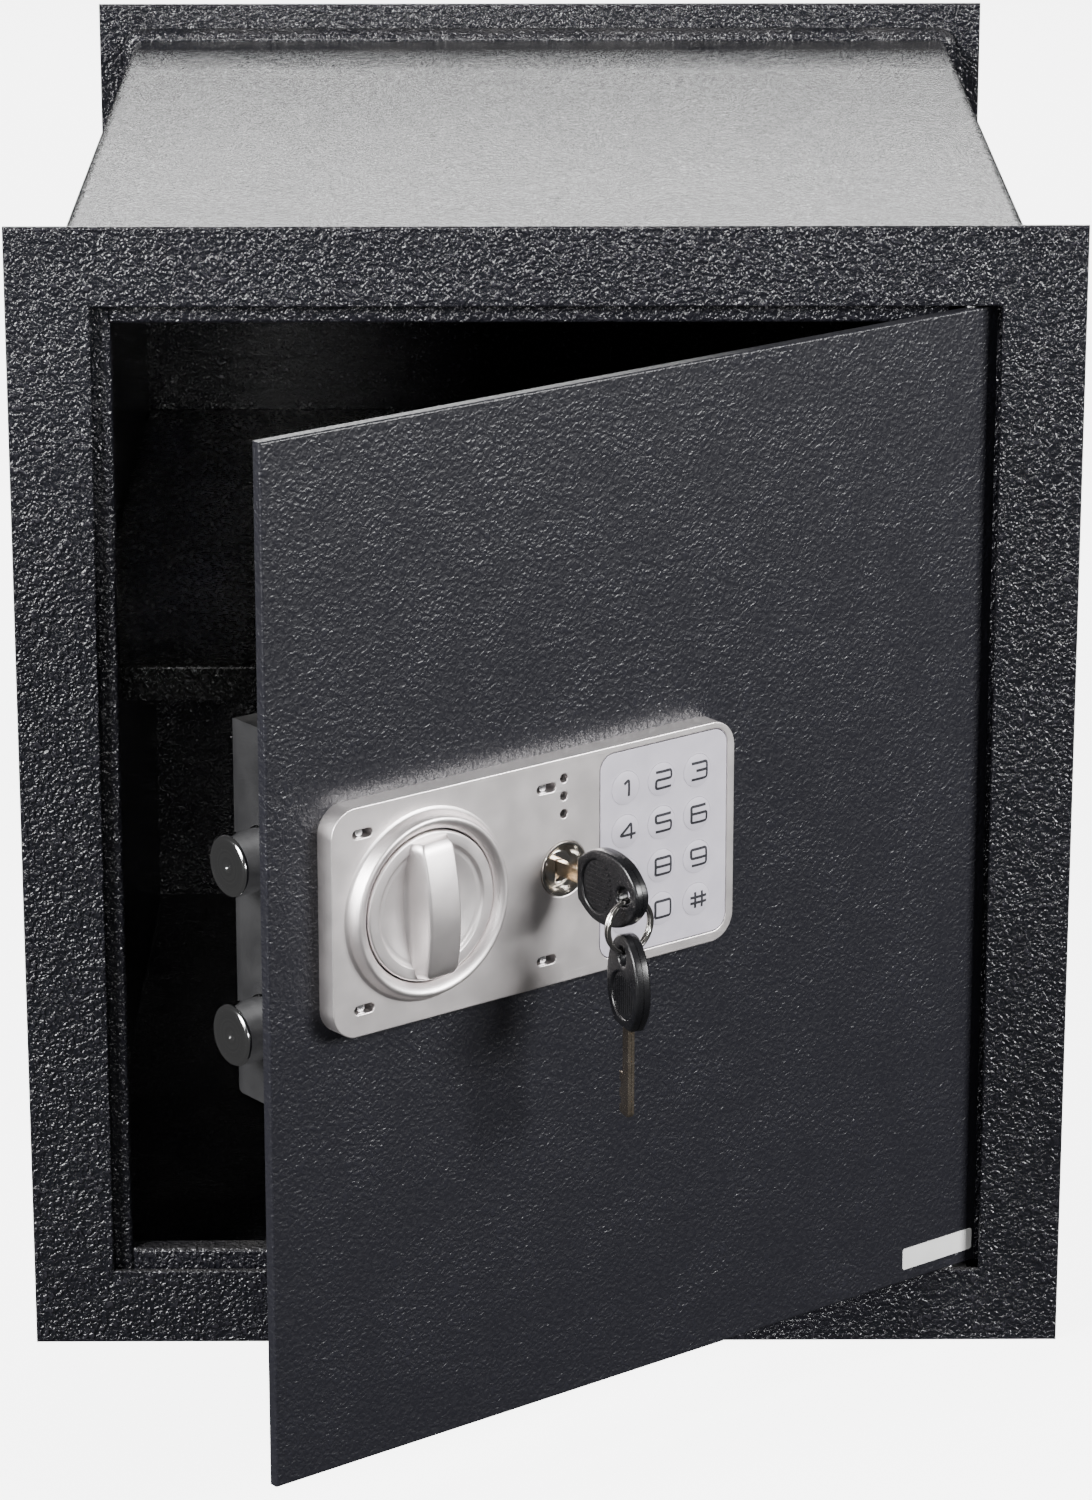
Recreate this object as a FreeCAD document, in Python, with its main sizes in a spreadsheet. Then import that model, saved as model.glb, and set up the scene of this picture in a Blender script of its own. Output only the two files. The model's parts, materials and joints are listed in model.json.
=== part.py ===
"""Wall safe: flanged steel cabinet, right-hung door with a keypad lock, knob, two bolts and its keys.

Cabinet coordinates: X to the right, Y towards the back, Z up. The origin is the centre of the four
anchor holes, on the back face of the rear plate. The door, and everything on it, is drawn in door
coordinates: their origin is on the hinge axis at the height of the safe's underside, X runs towards the
hinge edge, the back of the door plate is the plane Y = 0, and Z is up. A turn about the hinge places it.
"""
import FreeCAD, Part
import math
import operator
import os
import Sketcher

doc = FreeCAD.newDocument("WallSafe")
sheet = doc.addObject("Spreadsheet::Sheet", "Sizes")
Vector = FreeCAD.Vector
Rotation = FreeCAD.Rotation
Placement = FreeCAD.Placement
X_AXIS, Y_AXIS, Z_AXIS = Vector(1, 0, 0), Vector(0, 1, 0), Vector(0, 0, 1)
OPERATIONS = {"+": operator.add, "-": operator.sub, "*": operator.mul, "/": operator.truediv}


class Size:
    """A length that carries both its value and the sheet expression it comes from."""

    def __init__(self, value, text):
        self.value = float(value)
        self.text = text

    def __add__(self, other):
        return combine(self, other, "+")

    def __radd__(self, other):
        return combine(other, self, "+")

    def __sub__(self, other):
        return combine(self, other, "-")

    def __rsub__(self, other):
        return combine(other, self, "-")

    def __mul__(self, other):
        return combine(self, other, "*")

    def __rmul__(self, other):
        return combine(other, self, "*")

    def __truediv__(self, other):
        return combine(self, other, "/")

    def __neg__(self):
        return combine(0, self, "-")


def as_size(number):
    """A plain number as a Size."""
    return number if isinstance(number, Size) else Size(number, f"{float(number):.6f}")


def combine(left, right, sign):
    """The Size that an arithmetic sign makes of two sizes or numbers."""
    left, right = as_size(left), as_size(right)
    return Size(OPERATIONS[sign](left.value, right.value), f"({left.text} {sign} {right.text})")


SHEET_ROWS = []


def size(alias, value):
    """Writes one driving dimension into the sheet and returns it."""
    row = len(SHEET_ROWS) + 1
    SHEET_ROWS.append(alias)
    sheet.set(f"A{row}", alias)
    sheet.set(f"B{row}", str(value))
    sheet.setAlias(f"B{row}", alias)
    return Size(value, f"Sizes.{alias}")


# ---------------------------------------------------------------- driving dimensions, in mm and degrees
# Cabinet
flange_wide = size("flange_wide", 390)
flange_tall = size("flange_tall", 434)
overall_deep = size("overall_deep", 473)
flange_thick = size("flange_thick", 2)
rear_thick = size("rear_thick", 2.5)
wall = size("wall_thick", 2.5)
flange_margin = size("flange_margin", 15.5)
shell_corner = size("shell_corner", 4)
opening_wide = size("opening_wide", 329)
opening_tall = size("opening_tall", 375)
opening_low = size("opening_low", 29.5)
edge_round = size("edge_round", 0.8)
bead = size("bead_leg", 5)
stop_set_back = size("stop_set_back", 5)
stop_ledge = size("stop_ledge", 7)
stop_thick = size("stop_thick", 1.8)
stop_return = size("stop_return", 8)
stop_bend = size("stop_bend", 1.5)
hinge_stop_set_back = size("hinge_stop_set_back", 17)
anchor_radius = size("anchor_radius", 5.5)
rear_anchor_across = size("rear_anchor_across", 220)
rear_anchor_up = size("rear_anchor_up", 240)
floor_anchor_apart = size("floor_anchor_apart", 180)
floor_anchor_front = size("floor_anchor_front", 150)
shelf_set_back = size("shelf_set_back", 68)
shelf_top = size("shelf_top", 250)
shelf_thick = size("shelf_thick", 1.5)
shelf_lip = size("shelf_lip", 14)
shelf_gap = size("shelf_gap", 1)
rail_leg = size("rail_leg", 15)
rail_thick = size("rail_thick", 2)
# Door
door_side_gap = size("door_side_gap", 1.2)
door_end_gap = size("door_end_gap", 1)
door_thick = size("door_thick", 4)
door_recess = size("door_recess", 0.6)
hinge_inset = size("hinge_inset", 10)
open_angle = size("open_angle", 37.8)
pin_radius = size("pin_radius", 2)
pin_in_door = size("pin_in_door", 40)
pin_in_bush = size("pin_in_bush", 7)
running_gap = size("running_gap", 0.05)
bush_wide = size("bush_wide", 14)
bush_deep = size("bush_deep", 8.6)
bush_tall = size("bush_tall", 9)
# Lock panel and keypad
panel_deep = size("panel_deep", 8.2)
panel_wall = size("panel_wall", 2)
panel_corner = size("panel_corner", 10)
panel_inset = size("panel_inset", 20.8)
panel_height = size("panel_height", 233.3)
works_rise = size("works_rise", 0.7)
slot_inset = size("slot_inset", 12.9)
slot_apart = size("slot_apart", 78.5)
slot_up = size("slot_up", 62.8)
slot_long = size("slot_long", 8.3)
slot_high = size("slot_high", 3.2)
lamp_radius = size("lamp_radius", 1.6)
lamp_pitch = size("lamp_pitch", 6.5)
lamp_rise = size("lamp_rise", 27.2)
lamp_sink = size("lamp_sink", 1.8)
screw_sink = size("screw_sink", 2.2)
film_side = size("film_side", 6.2)
film_end = size("film_end", 7.4)
film_border = size("film_border", 3.7)
film_thick = size("film_thick", 0.5)
film_corner = size("film_corner", 6)
film_gap = size("film_gap", 0.3)
key_radius = size("key_radius", 6.1)
key_shift = size("key_shift", 1.2)
key_across = size("key_across", 16.2)
key_up = size("key_up", 16)
key_dome = size("key_dome", 0.8)
key_travel = size("key_travel", 0.8)
# Knob
boss_margin_side = size("boss_margin_side", 5.4)
boss_margin_end = size("boss_margin_end", 7)
boss_base_wide = size("boss_base_wide", 7.4)
boss_top_wide = size("boss_top_wide", 5.2)
boss_high = size("boss_high", 5)
knob_radius = size("knob_radius", 26.6)
knob_gap = size("knob_gap", 0.6)
grip_wide = size("grip_wide", 13.3)
grip_long = size("grip_long", 49)
grip_high = size("grip_high", 11.5)
grip_arch = size("grip_arch", 3.5)
spindle_radius = size("spindle_radius", 4)
crank_throw = size("crank_throw", 12)
crank_pin_radius = size("crank_pin_radius", 3)
crank_thick = size("crank_thick", 4)
# Override lock and keys
boss_to_lock = size("boss_to_lock", 25.7)
lock_to_film = size("lock_to_film", 16.2)
lock_radius = size("lock_radius", 10)
plug_radius = size("plug_radius", 6)
barrel_radius = size("barrel_radius", 9.4)
barrel_back = size("barrel_back", 22)
blade_thick = size("blade_thick", 2.4)
blade_wide = size("blade_wide", 5.2)
blade_long = size("blade_long", 33.5)
bit_long = size("bit_long", 15)
bit_out = size("bit_out", 2.6)
bow_long = size("bow_long", 33)
bow_thick = size("bow_thick", 5.6)
bow_hole_radius = size("bow_hole_radius", 3.4)
ring_play = size("ring_play", 1.1)
bow_hole_from_end = size("bow_hole_from_end", 7.5)
bow_stand_off = size("bow_stand_off", 10.5)
ring_radius = size("ring_radius", 9.4)
ring_wire = size("ring_wire", 0.8)
hang_turn = size("hang_turn", 16)
# Bolt work behind the door
cover_side_inset = size("cover_side_inset", 24.8)
cover_wide = size("cover_wide", 176)
cover_behind = size("cover_behind", 11)
cover_low = size("cover_low", 155)
cover_tall = size("cover_tall", 137)
cover_wall = size("cover_wall", 2)
cover_round = size("cover_round", 8)
reset_radius = size("reset_radius", 3)
reset_long = size("reset_long", 6)
reset_out = size("reset_out", 2)
bolt_radius = size("bolt_radius", 11)
bolt_tip_inset = size("bolt_tip_inset", 10)
bolt_long = size("bolt_long", 56.6)
bolt_low = size("bolt_low", 184)
bolt_apart = size("bolt_apart", 61.5)
bolt_rim = size("bolt_rim", 1.2)
bolt_throw = size("bolt_throw", 17)
bolt_clear = size("bolt_clear", 0.6)
guide_thick = size("guide_thick", 2.5)
guide_apart = size("guide_apart", 15)
carriage_thick = size("carriage_thick", 4)
bolt_to_web = size("bolt_to_web", 1)
keeper_reach = size("keeper_reach", 4.5)
plunger_radius = size("plunger_radius", 4)
plunger_stroke = size("plunger_stroke", 6)
cell_radius = size("cell_radius", 7.1)
cell_long = size("cell_long", 50)
label_long = size("label_long", 35)
label_tall = size("label_tall", 8.5)
label_thick = size("label_thick", 0.2)
label_inset = size("label_inset", 2)
label_rise = size("label_rise", 5)

doc.recompute()

# ---------------------------------------------------------------- sizes worked out from the ones above
half_flange = flange_wide / 2
shell_half = half_flange - flange_margin
shell_low = flange_margin
shell_top = flange_tall - flange_margin
inner_half = shell_half - wall
inner_low = shell_low + wall
inner_top = shell_top - wall
shell_back = overall_deep - rear_thick
half_opening = opening_wide / 2
opening_top = opening_low + opening_tall
hinge_x = half_opening - door_side_gap - hinge_inset
hinge_y = door_recess + door_thick
door_free = hinge_inset - (opening_wide - 2 * door_side_gap)
door_low = opening_low + door_end_gap
door_top = opening_top - door_end_gap
door_face = -door_thick
boss_base_radius = knob_radius + boss_base_wide
boss_top_radius = knob_radius + boss_top_wide
film_wide = 2 * (key_across + key_radius + film_side)
film_tall = 3 * key_up + 2 * (key_radius + film_end)
panel_tall = 2 * (boss_base_radius + boss_margin_end)
panel_left = door_free + panel_inset
panel_front = door_face - panel_deep
knob_x = panel_left + boss_margin_side + boss_base_radius
knob_z = panel_height + works_rise
lock_x = knob_x + boss_base_radius + boss_to_lock
lock_z = knob_z
film_left = lock_x + lock_to_film
film_right = film_left + film_wide
film_mid_x = film_left + film_wide / 2
film_mid_z = panel_height + works_rise
panel_right = film_right + film_border
cover_left = door_free + cover_side_inset
cover_right = cover_left + cover_wide
bolt_tip = door_free + bolt_tip_inset
bolt_end = bolt_tip + bolt_long
pin_shift = crank_throw * math.sqrt(0.5)
crank_front = 2.5 * crank_thick
crank_back = crank_front + crank_thick
web_front = crank_back + crank_thick
web_back = web_front + carriage_thick
bolt_back = web_back + bolt_to_web + bolt_radius
cover_deep = bolt_back + bolt_radius + cover_behind

CABINET = Placement(Vector(0, -overall_deep.value, -flange_tall.value / 2), Rotation())
DOOR = CABINET.multiply(Placement(Vector(hinge_x.value, hinge_y.value, 0),
                                  Rotation(Z_AXIS, open_angle.value)))


# ---------------------------------------------------------------- helpers
def bind(item, path, amount):
    """Ties a property of a document object to a size."""
    item.setExpression(path, as_size(amount).text)


def new_body(label, place):
    """An empty PartDesign body."""
    body = doc.addObject("PartDesign::Body", label)
    body.Label = label
    body.Placement = place
    return body


def origin_plane(body, role):
    """One of the body's own origin planes or axes."""
    return next(feature for feature in body.Origin.OriginFeatures if feature.Role == role)


def new_sketch(body, role, along, shift=(0, 0)):
    """A sketch on an origin plane of the body, moved along the plane's positive axis."""
    sketch = body.newObject("Sketcher::SketchObject", f"{body.Label}_sketch")
    sketch.AttachmentSupport = (origin_plane(body, role), [""])
    sketch.MapMode = "FlatFace"
    distance = -as_size(along) if role == "XZ_Plane" else as_size(along)
    bind(sketch, "AttachmentOffset.Base.x", shift[0])
    bind(sketch, "AttachmentOffset.Base.y", shift[1])
    bind(sketch, "AttachmentOffset.Base.z", distance)
    return sketch


def pin_point(sketch, geometry, end, x, y):
    """Holds one sketch point at its two coordinates."""
    for kind, amount in (("DistanceX", x), ("DistanceY", y)):
        amount = as_size(amount)
        index = sketch.addConstraint(Sketcher.Constraint(kind, -1, 1, geometry, end, amount.value))
        sketch.setExpression(f"Constraints[{index}]", amount.text)


def add_outline(sketch, points):
    """A closed outline of straight lines through points."""
    spots = [Vector(as_size(x).value, as_size(y).value, 0) for x, y in points]
    lines = []
    for start, end in zip(spots, spots[1:] + spots[:1]):
        lines.append(sketch.addGeometry(Part.LineSegment(start, end), False))
    for line, following in zip(lines, lines[1:] + lines[:1]):
        sketch.addConstraint(Sketcher.Constraint("Coincident", line, 2, following, 1))
    for line, (x, y) in zip(lines, points):
        pin_point(sketch, line, 1, x, y)


def add_rectangle(sketch, left, right, low, top):
    """A rectangle between two X values and two Y values of the sketch."""
    add_outline(sketch, [(left, low), (right, low), (right, top), (left, top)])


def add_circle(sketch, x, y, radius):
    """A circle of a given centre and radius."""
    radius = as_size(radius)
    centre = Vector(as_size(x).value, as_size(y).value, 0)
    circle = sketch.addGeometry(Part.Circle(centre, Vector(0, 0, 1), radius.value), False)
    index = sketch.addConstraint(Sketcher.Constraint("Radius", circle, radius.value))
    sketch.setExpression(f"Constraints[{index}]", radius.text)
    pin_point(sketch, circle, 3, x, y)


def add_rounded(sketch, left, right, low, top, radius):
    """A rectangle with round corners of one radius."""
    radius = as_size(radius)
    r = radius.value
    corners = [(left + radius, low + radius, 2), (right - radius, low + radius, 3),
               (right - radius, top - radius, 0), (left + radius, top - radius, 1)]
    arcs = []
    for x, y, quarter in corners:
        circle = Part.Circle(Vector(x.value, y.value, 0), Vector(0, 0, 1), r)
        start = quarter * math.pi / 2
        arcs.append(sketch.addGeometry(Part.ArcOfCircle(circle, start, start + math.pi / 2), False))
    for number, (arc, following) in enumerate(zip(arcs, arcs[1:] + arcs[:1])):
        line = Part.LineSegment(sketch.getPoint(arc, 2), sketch.getPoint(following, 1))
        side = sketch.addGeometry(line, False)
        sketch.addConstraint(Sketcher.Constraint("Tangent", arc, 2, side, 1))
        sketch.addConstraint(Sketcher.Constraint("Tangent", side, 2, following, 1))
        if number:
            sketch.addConstraint(Sketcher.Constraint("Equal", arcs[0], arc))
    index = sketch.addConstraint(Sketcher.Constraint("Radius", arcs[0], r))
    sketch.setExpression(f"Constraints[{index}]", radius.text)
    for arc, (x, y, _) in zip(arcs, corners):
        pin_point(sketch, arc, 3, x, y)


def add_slot(sketch, x, y, length, height):
    """A level round-ended slot about a centre."""
    radius = as_size(height) / 2
    reach = as_size(length) / 2 - radius
    cx, cy, r, run = as_size(x).value, as_size(y).value, radius.value, reach.value
    up = Vector(0, 0, 1)
    left_circle = Part.Circle(Vector(cx - run, cy, 0), up, r)
    right_circle = Part.Circle(Vector(cx + run, cy, 0), up, r)
    left = sketch.addGeometry(Part.ArcOfCircle(left_circle, math.pi / 2, 1.5 * math.pi), False)
    right = sketch.addGeometry(Part.ArcOfCircle(right_circle, -math.pi / 2, math.pi / 2), False)
    low_side = Part.LineSegment(Vector(cx - run, cy - r, 0), Vector(cx + run, cy - r, 0))
    top_side = Part.LineSegment(Vector(cx + run, cy + r, 0), Vector(cx - run, cy + r, 0))
    low = sketch.addGeometry(low_side, False)
    top = sketch.addGeometry(top_side, False)
    for first, first_end, second, second_end in ((left, 2, low, 1), (low, 2, right, 1),
                                                 (right, 2, top, 1), (top, 2, left, 1)):
        sketch.addConstraint(Sketcher.Constraint("Tangent", first, first_end, second, second_end))
    index = sketch.addConstraint(Sketcher.Constraint("Radius", left, r))
    sketch.setExpression(f"Constraints[{index}]", radius.text)
    pin_point(sketch, left, 3, x - reach, y)
    pin_point(sketch, right, 3, x + reach, y)


def pad(body, sketch, length):
    """Adds material from the sketch towards the positive axis."""
    feature = body.newObject("PartDesign::Pad", f"{body.Label}_pad")
    feature.Profile = sketch
    bind(feature, "Length", length)
    feature.Reversed = sketch.AttachmentSupport[0][0].Role == "XZ_Plane"
    sketch.Visibility = False
    doc.recompute()
    return feature


def pocket(body, sketch, length):
    """Removes material from the sketch towards the positive axis, and makes sure that it did."""
    before = body.Shape.Volume
    feature = body.newObject("PartDesign::Pocket", f"{body.Label}_pocket")
    feature.Profile = sketch
    bind(feature, "Length", length)
    feature.Reversed = sketch.AttachmentSupport[0][0].Role != "XZ_Plane"
    doc.recompute()
    if "Up-to-date" not in feature.State or body.Shape.Volume >= before:
        raise RuntimeError(f"a pocket in {body.Label} cuts nothing")
    return feature


def revolve(body, sketch, kind="PartDesign::Revolution"):
    """Turns the sketch's outline a full turn about the sketch's own vertical axis."""
    feature = body.newObject(kind, f"{body.Label}_turning")
    feature.Profile = sketch
    feature.ReferenceAxis = (sketch, ["V_Axis"])
    feature.Angle = 360
    doc.recompute()
    return feature


def hollow(body, feature, open_face, thickness):
    """Hollows the body to a wall thickness, leaving one face open."""
    shell = body.newObject("PartDesign::Thickness", f"{body.Label}_shell")
    shell.Base = (feature, [open_face])
    bind(shell, "Value", thickness)
    shell.Reversed = True
    doc.recompute()
    return shell


def edges_where(shape, test):
    """Names of the edges whose every vertex passes a test, in the body's own coordinates."""
    names = []
    for number, edge in enumerate(shape.Edges, 1):
        if all(test(vertex.Point) for vertex in edge.Vertexes):
            names.append(f"Edge{number}")
    return names


def soften(body, feature, amount, names, kind="PartDesign::Fillet"):
    """Fillets or chamfers the named edges of a feature."""
    rounding = body.newObject(kind, f"{body.Label}_edge")
    rounding.Base = (feature, names)
    bind(rounding, "Radius" if kind == "PartDesign::Fillet" else "Size", amount)
    doc.recompute()
    return rounding


def round_along(body, feature, axis, amount, corners):
    """Rounds the edges that run along an axis and pass near the given corners of the other two axes."""
    others = [index for index in range(3) if index != axis]
    names = []
    for number, edge in enumerate(feature.Shape.Edges, 1):
        ends = [vertex.Point for vertex in edge.Vertexes]
        if len(ends) < 2 or abs(ends[0][axis] - ends[1][axis]) < edge.Length * 0.999:
            continue
        for corner in corners:
            gaps = [abs(ends[0][others[side]] - as_size(corner[side]).value) for side in (0, 1)]
            if max(gaps) < 0.01:
                names.append(f"Edge{number}")
    return soften(body, feature, amount, names)


def corners_of(left, right, low, top):
    """The four corners of a rectangle."""
    return [(left, low), (right, low), (right, top), (left, top)]


def at_level(axis, level):
    """A test for points on one plane across an axis."""
    return lambda point: abs(point[axis] - as_size(level).value) < 1e-4


def block(label, place, spans, corner=None):
    """A straight box between X, Y and Z values, with its upright edges rounded if a radius is given."""
    (left, right), (front, back), (low, top) = spans
    body = new_body(label, place)
    sketch = new_sketch(body, "XZ_Plane", front)
    add_rectangle(sketch, left, right, low, top)
    feature = pad(body, sketch, as_size(back) - front)
    if corner is not None:
        round_along(body, feature, 1, corner, corners_of(left, right, low, top))
    return body


def cylinder(name, radius, length, place):
    """A round bar, a Part primitive whose axis starts along its own Z."""
    bar = doc.addObject("Part::Cylinder", name)
    bind(bar, "Radius", radius)
    bind(bar, "Height", length)
    bar.Placement = place
    return bar


def spot(x, y, z, rotation=None):
    """A placement at a point given in sizes."""
    return Placement(Vector(as_size(x).value, as_size(y).value, as_size(z).value), rotation or Rotation())


ALONG_Y = Rotation(X_AXIS, -90)
ALONG_X = Rotation(Y_AXIS, 90)
PIECES = []


def keep(item, label=None):
    """Adds an object to the list of sub-parts that are written out."""
    if label is not None:
        item.Label = label
    PIECES.append(item)
    return item


def group(label, items):
    """Identical small pieces as one node of separate solids."""
    holder = doc.addObject("Part::Compound", label)
    holder.Links = items
    return keep(holder, label)


# ---------------------------------------------------------------- cabinet
def make_front_flange():
    """The plate that overlaps the wall, with the door opening."""
    body = new_body("front_flange", CABINET)
    sketch = new_sketch(body, "XZ_Plane", 0)
    add_rectangle(sketch, -half_flange, half_flange, 0, flange_tall)
    add_rectangle(sketch, -half_opening, half_opening, opening_low, opening_top)
    feature = pad(body, sketch, flange_thick)
    soften(body, feature, edge_round, edges_where(feature.Shape, at_level(1, 0)))
    keep(body)


def make_body_shell():
    """The folded sheet tube, with two anchor holes in its floor."""
    body = new_body("body_shell", CABINET)
    sketch = new_sketch(body, "XZ_Plane", flange_thick)
    add_rectangle(sketch, -shell_half, shell_half, shell_low, shell_top)
    add_rectangle(sketch, -inner_half, inner_half, inner_low, inner_top)
    feature = pad(body, sketch, shell_back - flange_thick)
    outside = corners_of(-shell_half, shell_half, shell_low, shell_top)
    feature = round_along(body, feature, 1, shell_corner, outside)
    inside = corners_of(-inner_half, inner_half, inner_low, inner_top)
    round_along(body, feature, 1, shell_corner - wall, inside)
    holes = new_sketch(body, "XY_Plane", shell_low - 1)
    for y in (floor_anchor_front, floor_anchor_front + floor_anchor_apart):
        add_circle(holes, 0, y, anchor_radius)
    pocket(body, holes, wall + 2)
    keep(body)


def make_rear_plate():
    """The plate that closes the back, as large as the front flange, with four anchor holes."""
    body = new_body("rear_plate", CABINET)
    sketch = new_sketch(body, "XZ_Plane", shell_back)
    add_rectangle(sketch, -half_flange, half_flange, 0, flange_tall)
    middle = flange_tall / 2
    for side in (-1, 1):
        for level in (-1, 1):
            x, z = side * rear_anchor_across / 2, middle + level * rear_anchor_up / 2
            add_circle(sketch, x, z, anchor_radius)
    feature = pad(body, sketch, rear_thick)
    soften(body, feature, edge_round, edges_where(feature.Shape, at_level(1, shell_back)))
    keep(body)


def make_rear_weld():
    """The weld bead all round the tube, in front of the rear plate."""
    body = new_body("rear_weld_bead", CABINET)
    sketch = new_sketch(body, "XZ_Plane", shell_back - bead)
    add_rectangle(sketch, -shell_half - bead, shell_half + bead, shell_low - bead, shell_top + bead)
    feature = pad(body, sketch, bead)
    outer = corners_of(-shell_half - bead, shell_half + bead, shell_low - bead, shell_top + bead)
    feature = round_along(body, feature, 1, shell_corner + bead, outer)
    front = edges_where(feature.Shape, at_level(1, shell_back - bead))
    feature = soften(body, feature, bead * 0.9, front)
    core = new_sketch(body, "XZ_Plane", shell_back - bead - 1)
    add_rounded(core, -shell_half, shell_half, shell_low, shell_top, shell_corner)
    pocket(body, core, bead + 2)
    keep(body)


def make_stop(label, role, ledge_from, ledge_to, set_back, start, length, mirrored=False):
    """An angle strip that the door closes against: a ledge, and a return at its inner edge."""
    body = new_body(label, CABINET)
    sketch = new_sketch(body, role, start)
    inward = -1 if mirrored else 1
    lip = ledge_to - inward * stop_thick
    points = [(ledge_from, set_back), (ledge_to, set_back), (ledge_to, set_back + stop_return),
              (lip, set_back + stop_return), (lip, set_back + stop_thick),
              (ledge_from, set_back + stop_thick)]
    if role == "YZ_Plane":
        points = [(y, across) for across, y in points]
    add_outline(sketch, points)
    feature = pad(body, sketch, length)
    if role == "YZ_Plane":
        round_along(body, feature, 0, stop_bend, [(set_back, ledge_to)])
    else:
        round_along(body, feature, 2, stop_bend, [(ledge_to, set_back)])
    keep(body)


def make_stops():
    """The four strips of the door stop; the one at the hinge stands further back."""
    inner_edge = half_opening - stop_ledge
    clear = shell_corner - wall
    start = inner_low + clear
    tall = inner_top - inner_low - 2 * clear
    make_stop("stop_left", "XY_Plane", -inner_half, -inner_edge, stop_set_back, start, tall)
    make_stop("stop_right", "XY_Plane", inner_half, inner_edge, hinge_stop_set_back, start, tall, True)
    run = hinge_x - bush_wide / 2 - 1 + inner_edge
    top, bottom = opening_top - stop_ledge, opening_low + stop_ledge
    make_stop("stop_top", "YZ_Plane", inner_top, top, stop_set_back, -inner_edge, run, True)
    make_stop("stop_bottom", "YZ_Plane", inner_low, bottom, stop_set_back, -inner_edge, run)


def make_bolt_keeper():
    """The angle behind the left stop that the thrown bolts bear on."""
    front = hinge_y + bolt_back - bolt_radius - bolt_clear - guide_thick
    back = front + guide_thick
    inner = keeper_reach - half_opening
    body = new_body("bolt_keeper", CABINET)
    sketch = new_sketch(body, "XY_Plane", bolt_low - 1.5 * bolt_radius)
    points = [(-inner_half, front), (inner, front), (inner, back), (-inner_half + guide_thick, back),
              (-inner_half + guide_thick, back + 3 * bolt_radius), (-inner_half, back + 3 * bolt_radius)]
    add_outline(sketch, points)
    pad(body, sketch, bolt_apart + 3 * bolt_radius)
    keep(body)


def make_hinge_bushes():
    """Two blocks above and below the opening, bored for the hinge pins."""
    bores = []
    for name, low in (("bush_high", opening_top), ("bush_low", opening_low - bush_tall)):
        body = block(name, CABINET, ((hinge_x - bush_wide / 2, hinge_x + bush_wide / 2),
                                     (flange_thick, flange_thick + bush_deep), (low, low + bush_tall)))
        hole = new_sketch(body, "XY_Plane", low - 1)
        add_circle(hole, hinge_x, hinge_y, pin_radius + running_gap)
        pocket(body, hole, bush_tall + 2)
        bores.append(body)
    group("hinge_bushes", bores)


def make_shelf():
    """A sheet shelf with a lip folded down at the front, resting on two rails."""
    half = inner_half - shelf_gap
    back = shell_back - shelf_gap
    lip_back = shelf_set_back + shelf_thick
    body = new_body("shelf", CABINET)
    sketch = new_sketch(body, "YZ_Plane", -half)
    low = shelf_top - shelf_thick
    points = [(shelf_set_back, shelf_top), (shelf_set_back, shelf_top - shelf_lip),
              (lip_back, shelf_top - shelf_lip), (lip_back, low), (back, low), (back, shelf_top)]
    add_outline(sketch, points)
    feature = pad(body, sketch, 2 * half)
    round_along(body, feature, 0, shelf_thick, [(shelf_set_back, shelf_top)])
    keep(body)
    for label, side in (("shelf_rail_left", -1), ("shelf_rail_right", 1)):
        wall_x = side * inner_half
        inner_x = wall_x - side * rail_leg
        web_x = wall_x - side * rail_thick
        rail = new_body(label, CABINET)
        profile = new_sketch(rail, "XZ_Plane", lip_back + 10)
        points = [(wall_x, low - rail_leg), (web_x, low - rail_leg), (web_x, low - rail_thick),
                  (inner_x, low - rail_thick), (inner_x, low), (wall_x, low)]
        add_outline(profile, points)
        pad(rail, profile, back - lip_back - 20)
        keep(rail)


# ---------------------------------------------------------------- door plate and its pins
def make_door_plate():
    """The plain steel plate, holed for the spindle, the lock and the wires, grooved for the pins."""
    body = new_body("door_plate", DOOR)
    sketch = new_sketch(body, "XZ_Plane", door_face)
    add_rectangle(sketch, door_free, hinge_inset, door_low, door_top)
    add_circle(sketch, knob_x, knob_z, spindle_radius + 1)
    add_circle(sketch, lock_x, lock_z, barrel_radius + 0.2)
    add_circle(sketch, film_mid_x, film_mid_z, 6)
    feature = pad(body, sketch, door_thick)
    rim = [name for name in edges_where(feature.Shape, at_level(1, door_face))
           if len(feature.Shape.getElement(name).Vertexes) == 2]
    soften(body, feature, edge_round, rim)
    for start in (door_top - pin_in_door, door_low - 1):
        groove = new_sketch(body, "XY_Plane", start)
        add_circle(groove, 0, 0, pin_radius)
        pocket(body, groove, pin_in_door + 1)
    taps = new_sketch(body, "XZ_Plane", door_face)
    for x, z in screw_spots():
        add_circle(taps, x, z, 1.25)
    pocket(body, taps, 3)
    keep(body)


def make_hinge_pins():
    """Two steel pins half sunk in the back of the door plate."""
    length = pin_in_door + door_end_gap + pin_in_bush
    high = cylinder("pin_high", pin_radius, length, DOOR.multiply(spot(0, 0, door_top - pin_in_door)))
    low_end = door_low - door_end_gap - pin_in_bush
    low = cylinder("pin_low", pin_radius, length, DOOR.multiply(spot(0, 0, low_end)))
    group("hinge_pins", [high, low])


def screw_spots():
    """Centres of the four screw slots of the lock panel."""
    spots = []
    for x in (panel_left + slot_inset, panel_left + slot_inset + slot_apart):
        for side in (-1, 1):
            spots.append((x, panel_height + side * slot_up / 2))
    return spots


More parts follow.
